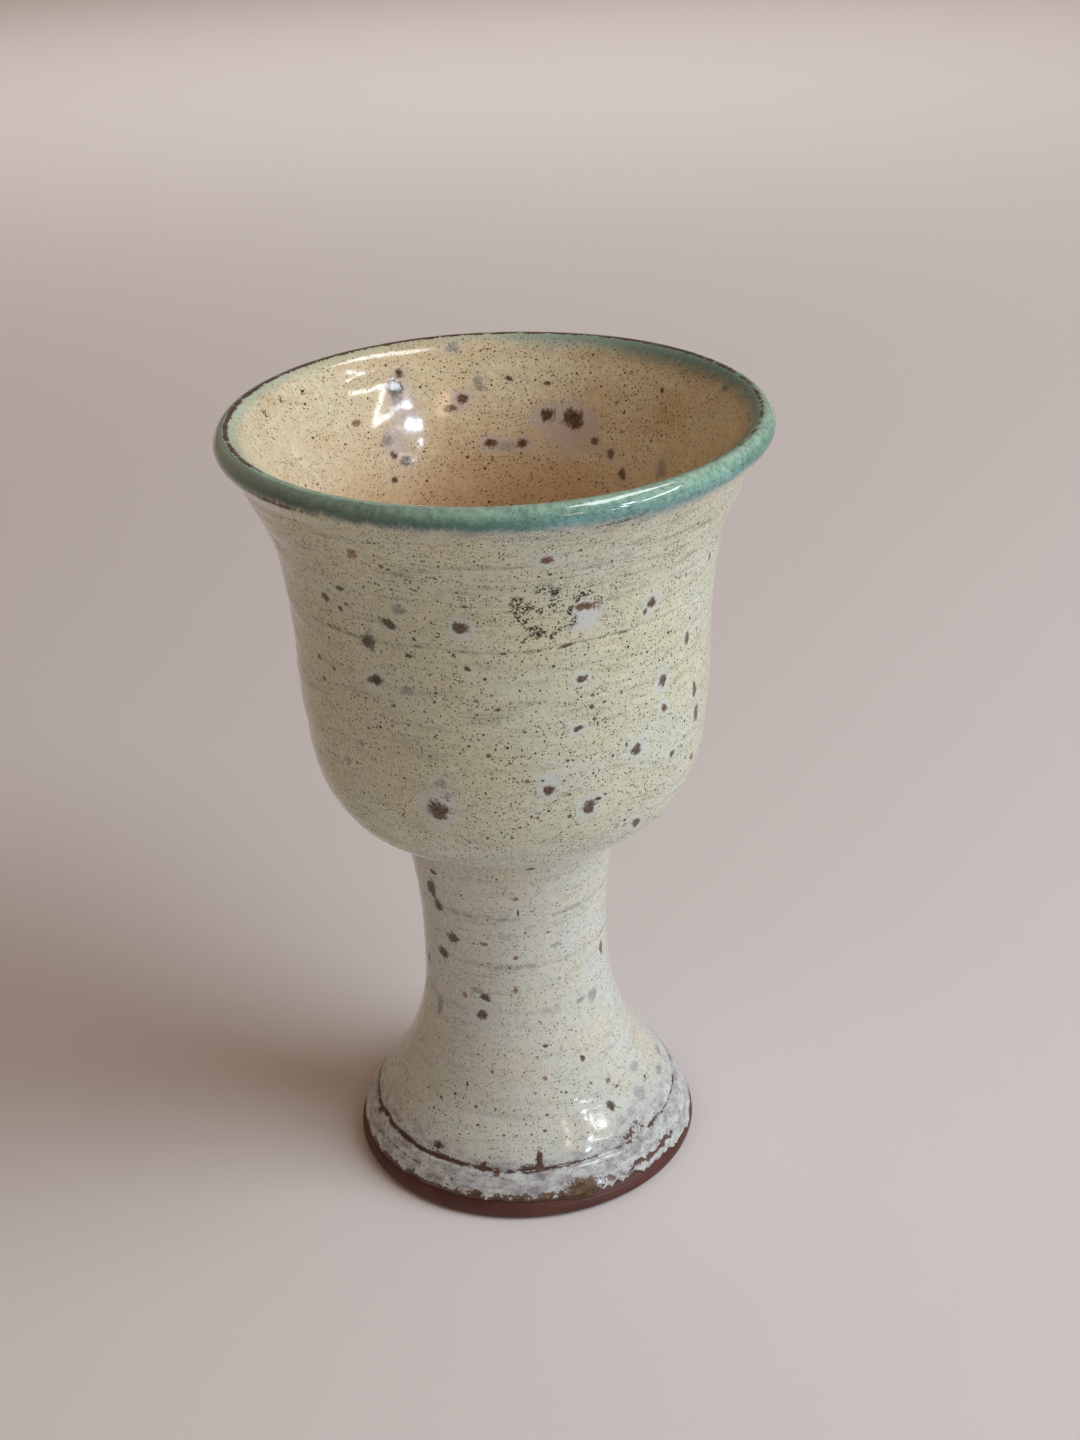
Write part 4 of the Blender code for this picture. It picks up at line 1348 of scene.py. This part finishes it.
    def paint(self, skin: Skin, above: Array) -> None:
        """Paint the fields that the glaze reads: the rust, the milky foot, the tone and the lines.

        Args:
            skin: The coat.
            above: How far each vertex lies above the glaze's lower edge.
        """
        height, bearing = skin.even[:, 2], skin.bearing
        rust, trailing = self.rust(skin, above)
        milk_top = 13.8 + 2.6 * ease(bearing, -15.0, -45.0) + 2.4 * ease(bearing, 28.0, 44.0)
        milk = 0.9 * ease(height, milk_top, 10.0) * (1.0 - 0.6 * trailing * ease(above, 1.9, 1.1))
        skin.paint("wash", rust, milk, self.ochre(skin, above))
        density = 0.42 * ease(height, 9.0, 16.0) + 0.5
        pale = 0.2 + 0.4 * np.interp(bearing, (10, 60, 130, 180), (0, 1, 1, 0)) * ease(height, 70.0, 20.0)
        skin.paint("tone", density, pale, 0.36)
        rings = sum(strength * bump(height, middle, wide) for middle, _, wide, strength in STEM_LINES)
        skin.paint("rim", 0.0, 0.0, 0.75 * rings * np.clip(0.65 + 0.35 * Wander(9.0, 62).at(skin.even), 0.0, 1.0))
        skin.paint("band", FAR)

    def build_coat(self) -> Piece:
        """Build the coat of stem and foot, whose lower edge ran down unevenly and drew up into a roll.

        Returns:
            The coat.
        """
        start, end = self.contour.reach(self.edge_height), self.contour.length - 0.1
        front = [(start + along, lift) for along, lift in self.lower_edge]
        lengths = [*span(start + 0.45, start + 1.8, 0.16), *span(start + 1.8, 15.0, 0.28), *span(15.0, end, 0.5), end]
        front += [(along, self.coat) for along in lengths]
        skin = Skin.spin("pale_pedestal_coat", self.contour, coat_rows(front))
        above = skin.along - start
        pits = MarkSet(PEDESTAL_MARKS + scattered(47, 26, (15.0, 74.0), (95.0, 265.0))).paint(skin)
        self.paint(skin, above)
        jagged = 0.04 + self.roll_rise * (ease(skin.bearing, 20.0, 27.0) * ease(skin.bearing, 84.0, 70.0))
        teeth = Wander(1.9, 66, 0.3).at(skin.even) * jagged + 0.09 * Wander(7.0, 67, 0.3).at(skin.even)
        shift = ease(above, 7.0, 0.0) * (self.edge(skin.bearing) - self.edge_height + teeth)
        relief = self.relief(skin) * ease(above, 0.4, 1.6) - self.pit_depth * pits
        relief += bump(above, 0.8, 0.55) * jagged
        places = self.lean(skin.places(skin.along + shift, skin.lift + relief * skin.front))
        return skin.finish(places, PALE.build())

    def build_clay(self) -> Piece:
        """Build the bare clay: the rounded foot ring, the turned outside and the thrown hollow.

        Returns:
            The clay wall.
        """
        outer = self.contour
        low = outer.lifted(np.array(span(1.2, 6.0, 0.6)), np.array(SEAT_GAP))
        high = outer.at(np.array(span(7.5, outer.length, 4.0)))
        inner = [outer.lifted(outer.reach(up), -self.wall) for up in self.inner_heights]
        ring_inner = self.radii[0] - self.foot_ring
        heel = [(ring_inner + radius, height) for radius, height in self.heel]
        section = Contour([*self.toe, *low, *high, *self.top, *inner, *heel])
        foot = section.length - 85.0
        lengths = [*span(0.0, 9.0, 0.14), *span(9.0, foot, 3.0), *span(foot, section.length, 0.9)]
        skin = Skin.spin("pedestal_clay", section, [(along, 0.0, 1.0) for along in lengths])
        even = skin.even
        height, radius = even[:, 2], np.hypot(even[:, 0], even[:, 1])
        bare = ease(height, 0.3, 1.0)
        turning = 0.03 * np.sin(math.tau * height / 0.62 + 0.6 * Wander(20.0, 71).at(even)) * bare
        hollow = ease(radius - outer.at(outer.reach(1.0))[0], -1.0, -4.0)
        waves = np.sin(math.tau * (height / 6.5 + skin.bearing / 360.0) + Wander(18.0, 72).at(even))
        nicks = -0.05 * np.clip(Wander(2.4, 73).at(even) - 1.1, 0.0, 1.0) * bare
        relief = turning * ease(height, 6.0, 4.5) + 0.12 * hollow * bare * waves + nicks
        places = self.lean(skin.places(skin.along, relief))
        places[:, 2] = np.maximum(places[:, 2], 0.0)
        return skin.finish(places, RED_CLAY.build())

    def build_bead(self) -> Piece:
        """Build the bead of slip squeezed out at the joint, under its own glaze.

        Returns:
            The bead.
        """
        section = Contour(self.bead)
        end = section.length
        lengths = [*span(0.0, 3.4, 0.8), *span(3.4, 6.6, 0.16), *span(6.6, end, 0.8), end]
        skin = Skin.spin("joint_bead", section, [(along, 0.0, 1.0) for along in lengths])
        even = skin.even
        skin.paint("band", FAR)
        skin.paint("wash")
        skin.paint("tone", 0.5, 0.0, 0.4)
        MarkSet([]).paint(skin)
        relief = 0.06 * Wander(5.0, 81).at(even) * ease(np.hypot(even[:, 0], even[:, 1]), 20.0, 21.5)
        return skin.finish(skin.places(skin.along, relief), PALE.build())

    def build(self) -> dict[str, Piece]:
        """Build the three pieces by the name of the CAD node that each stands for."""
        return {"pedestal": self.build_clay(), "joining_slip": self.build_bead(), "pedestal_glaze": self.build_coat()}


class Glow(Enum):
    """What a lamp is for: the soft light itself, or only the glint that a window leaves on wet-looking glaze."""

    SOFT = "soft"
    GLINT = "glint"


@dataclass(frozen=True)
class Lamp:
    """One area lamp of the studio.

    Args:
        name: Its name.
        glow: What it is for.
        bearing: Bearing that it stands at, in degrees.
        elevation: Height above the horizon, in degrees.
        distance: Distance from its target, in metres.
        size: Width and height in metres.
        power: Power in watts.
        colour: Its colour.
        target: What it looks at.
        spread: Angle of its beam in degrees.
        slant: Turn of its long side in degrees, rising to the right.
    """

    name: str
    glow: Glow
    bearing: float
    elevation: float
    distance: float
    size: tuple[float, float]
    power: float
    colour: str
    target: tuple[float, float, float] = (0.0, 0.0, 0.09)
    spread: float = 180.0
    slant: float = 0.0


LAMPS = (
    Lamp("window", Glow.SOFT, 70.0, 36.0, 1.25, (0.9, 0.9), 12.4, "#F1F7FF"),
    Lamp("front_fill", Glow.SOFT, 28.0, 40.0, 1.5, (1.0, 1.0), 0.5, "#FFFDFA"),
    Lamp("floor_wash", Glow.SOFT, 180.0, 88.0, 1.0, (1.6, 0.8), 2.4, "#FFFFFF", (0.0, 1.3, 0.0), 90.0),
    Lamp("upper_pane", Glow.GLINT, 55.0, 32.5, 1.1, (0.11, 0.06), 0.75, "#E6EFFF"),
    Lamp("middle_pane", Glow.GLINT, 49.5, 23.5, 1.1, (0.09, 0.1), 1.0, "#D6E6FF"),
    Lamp("low_pane", Glow.GLINT, 44.5, 15.5, 1.1, (0.055, 0.05), 0.34, "#CFE2FF"),
    Lamp("sash", Glow.GLINT, 71.0, 32.0, 1.1, (0.44, 0.065), 1.6, "#F4F8FF", slant=19.0),
    Lamp("sill", Glow.GLINT, 58.5, 19.0, 1.1, (0.26, 0.02), 0.22, "#F4F8FF", slant=-14.0),
    Lamp("long_pane", Glow.GLINT, 84.0, 63.0, 1.1, (0.75, 0.24), 6.4, "#F4F8FF"),
    Lamp("lantern", Glow.GLINT, 30.0, 30.5, 1.1, (0.15, 0.13), 0.45, "#FFD2B4"),
)


@dataclass
class Studio:
    """The plain pale floor, the soft lights and the camera.

    Args:
        eye: Where the camera stands.
        yaw: Turn of the view to the right, in degrees.
        pitch: How far it looks down.
        roll: Turn of the picture.
        focal_pixels: Focal length in pixels of the 1080 by 1440 picture.
        long_side: Height of that picture in pixels.
        sensor: Height of the sensor in millimetres.
        floor_colour: Colour of the floor.
        floor_radius: Its radius in metres.
        room_colour: Colour of the even light.
        room_light: Strength of the even light.
        backdrop_colour: What the camera sees behind the floor.
    """

    eye: tuple[float, float, float] = (0.0, -389.7, 295.46)
    yaw: float = 0.964
    pitch: float = 26.807
    roll: float = -2.166
    focal_pixels: float = 2141.0
    long_side: float = 1440.0
    sensor: float = 36.0
    floor_colour: str = "#F1EEED"
    floor_radius: float = 4.0
    room_colour: str = "#FFD6B6"
    room_light: float = 0.228
    backdrop_colour: str = "#8F8279"

    def build_camera(self) -> None:
        """Set the camera at the photograph's angle."""
        data = bpy.data.cameras.new("camera")
        data.sensor_width = self.sensor
        data.lens = self.focal_pixels / self.long_side * self.sensor
        data.clip_start = 0.01
        camera = bpy.data.objects.new("camera", data)
        bpy.context.scene.collection.objects.link(camera)
        turn = Matrix.Rotation(math.radians(-self.yaw), 4, "Z")
        tip = Matrix.Rotation(math.radians(90.0 - self.pitch), 4, "X")
        tilt = Matrix.Rotation(math.radians(self.roll), 4, "Z")
        camera.matrix_world = Matrix.Translation(Vector(self.eye) * MM) @ turn @ tip @ tilt
        bpy.context.scene.camera = camera

    def build_floor(self) -> None:
        """Lay the pale floor."""
        bm = bmesh.new()
        bmesh.ops.create_circle(bm, cap_ends=True, segments=96, radius=self.floor_radius)
        mesh = bpy.data.meshes.new("floor")
        bm.to_mesh(mesh)
        bm.free()
        floor = bpy.data.objects.new("floor", mesh)
        bpy.context.scene.collection.objects.link(floor)
        material = bpy.data.materials.new("matte_paper_floor")
        material.use_nodes = True
        shader = material.node_tree.nodes["Principled BSDF"]
        shader.inputs["Base Color"].default_value = linear(self.floor_colour)
        shader.inputs["Roughness"].default_value = 0.9
        mesh.materials.append(material)

    def add_light(self, lamp: Lamp) -> None:
        """Hang an area light that looks at the pot, or at its own target."""
        data = bpy.data.lights.new(lamp.name, "AREA")
        data.shape = "RECTANGLE"
        data.size, data.size_y = lamp.size
        data.energy = lamp.power
        data.color = linear(lamp.colour)[:3]
        data.spread = math.radians(lamp.spread)
        light = bpy.data.objects.new(lamp.name, data)
        bpy.context.scene.collection.objects.link(light)
        turn, rise = math.radians(lamp.bearing), math.radians(lamp.elevation)
        heading = Vector((math.sin(turn) * math.cos(rise), -math.cos(turn) * math.cos(rise), math.sin(rise)))
        light.location = Vector(lamp.target) + heading * lamp.distance
        facing = heading.to_track_quat("Z", "Y").to_matrix()
        light.rotation_euler = (facing @ Matrix.Rotation(math.radians(lamp.slant), 3, "Z")).to_euler()
        light.visible_glossy = lamp.glow is Glow.GLINT
        light.visible_diffuse = lamp.glow is Glow.SOFT

    def build_world(self) -> None:
        """Set the even light of the room, and the plain tone that the camera sees behind the floor."""
        world = bpy.data.worlds.new("room")
        world.use_nodes = True
        add = Board(world.node_tree).add
        seen_directly = add("LightPath").outputs["Is Camera Ray"]
        room = add("Background", self.room_colour, self.room_light)
        seen = add("Background", self.backdrop_colour, 1.0)
        add("OutputWorld", add("MixShader", seen_directly, room, seen))
        bpy.context.scene.world = world

    def build(self) -> None:
        """Build the whole studio."""
        self.build_camera()
        self.build_floor()
        self.build_world()
        for lamp in LAMPS:
            self.add_light(lamp)
        bpy.context.scene.view_settings.view_transform = "Standard"


def main() -> None:
    """Load the frame, build the looks in order and report each piece."""
    logging.basicConfig(level=logging.INFO, format="%(name)s %(message)s")
    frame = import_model()
    Studio().build()
    for node, piece in {**Pedestal().build(), **Bowl().build()}.items():
        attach(piece, "root")
        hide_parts(node)
    for material_slot in frame["nodes"]["bowl"].material_slots:
        material_slot.link = "OBJECT"
        material_slot.material = RED_CLAY.build()


if __name__ == "__main__":
    main()
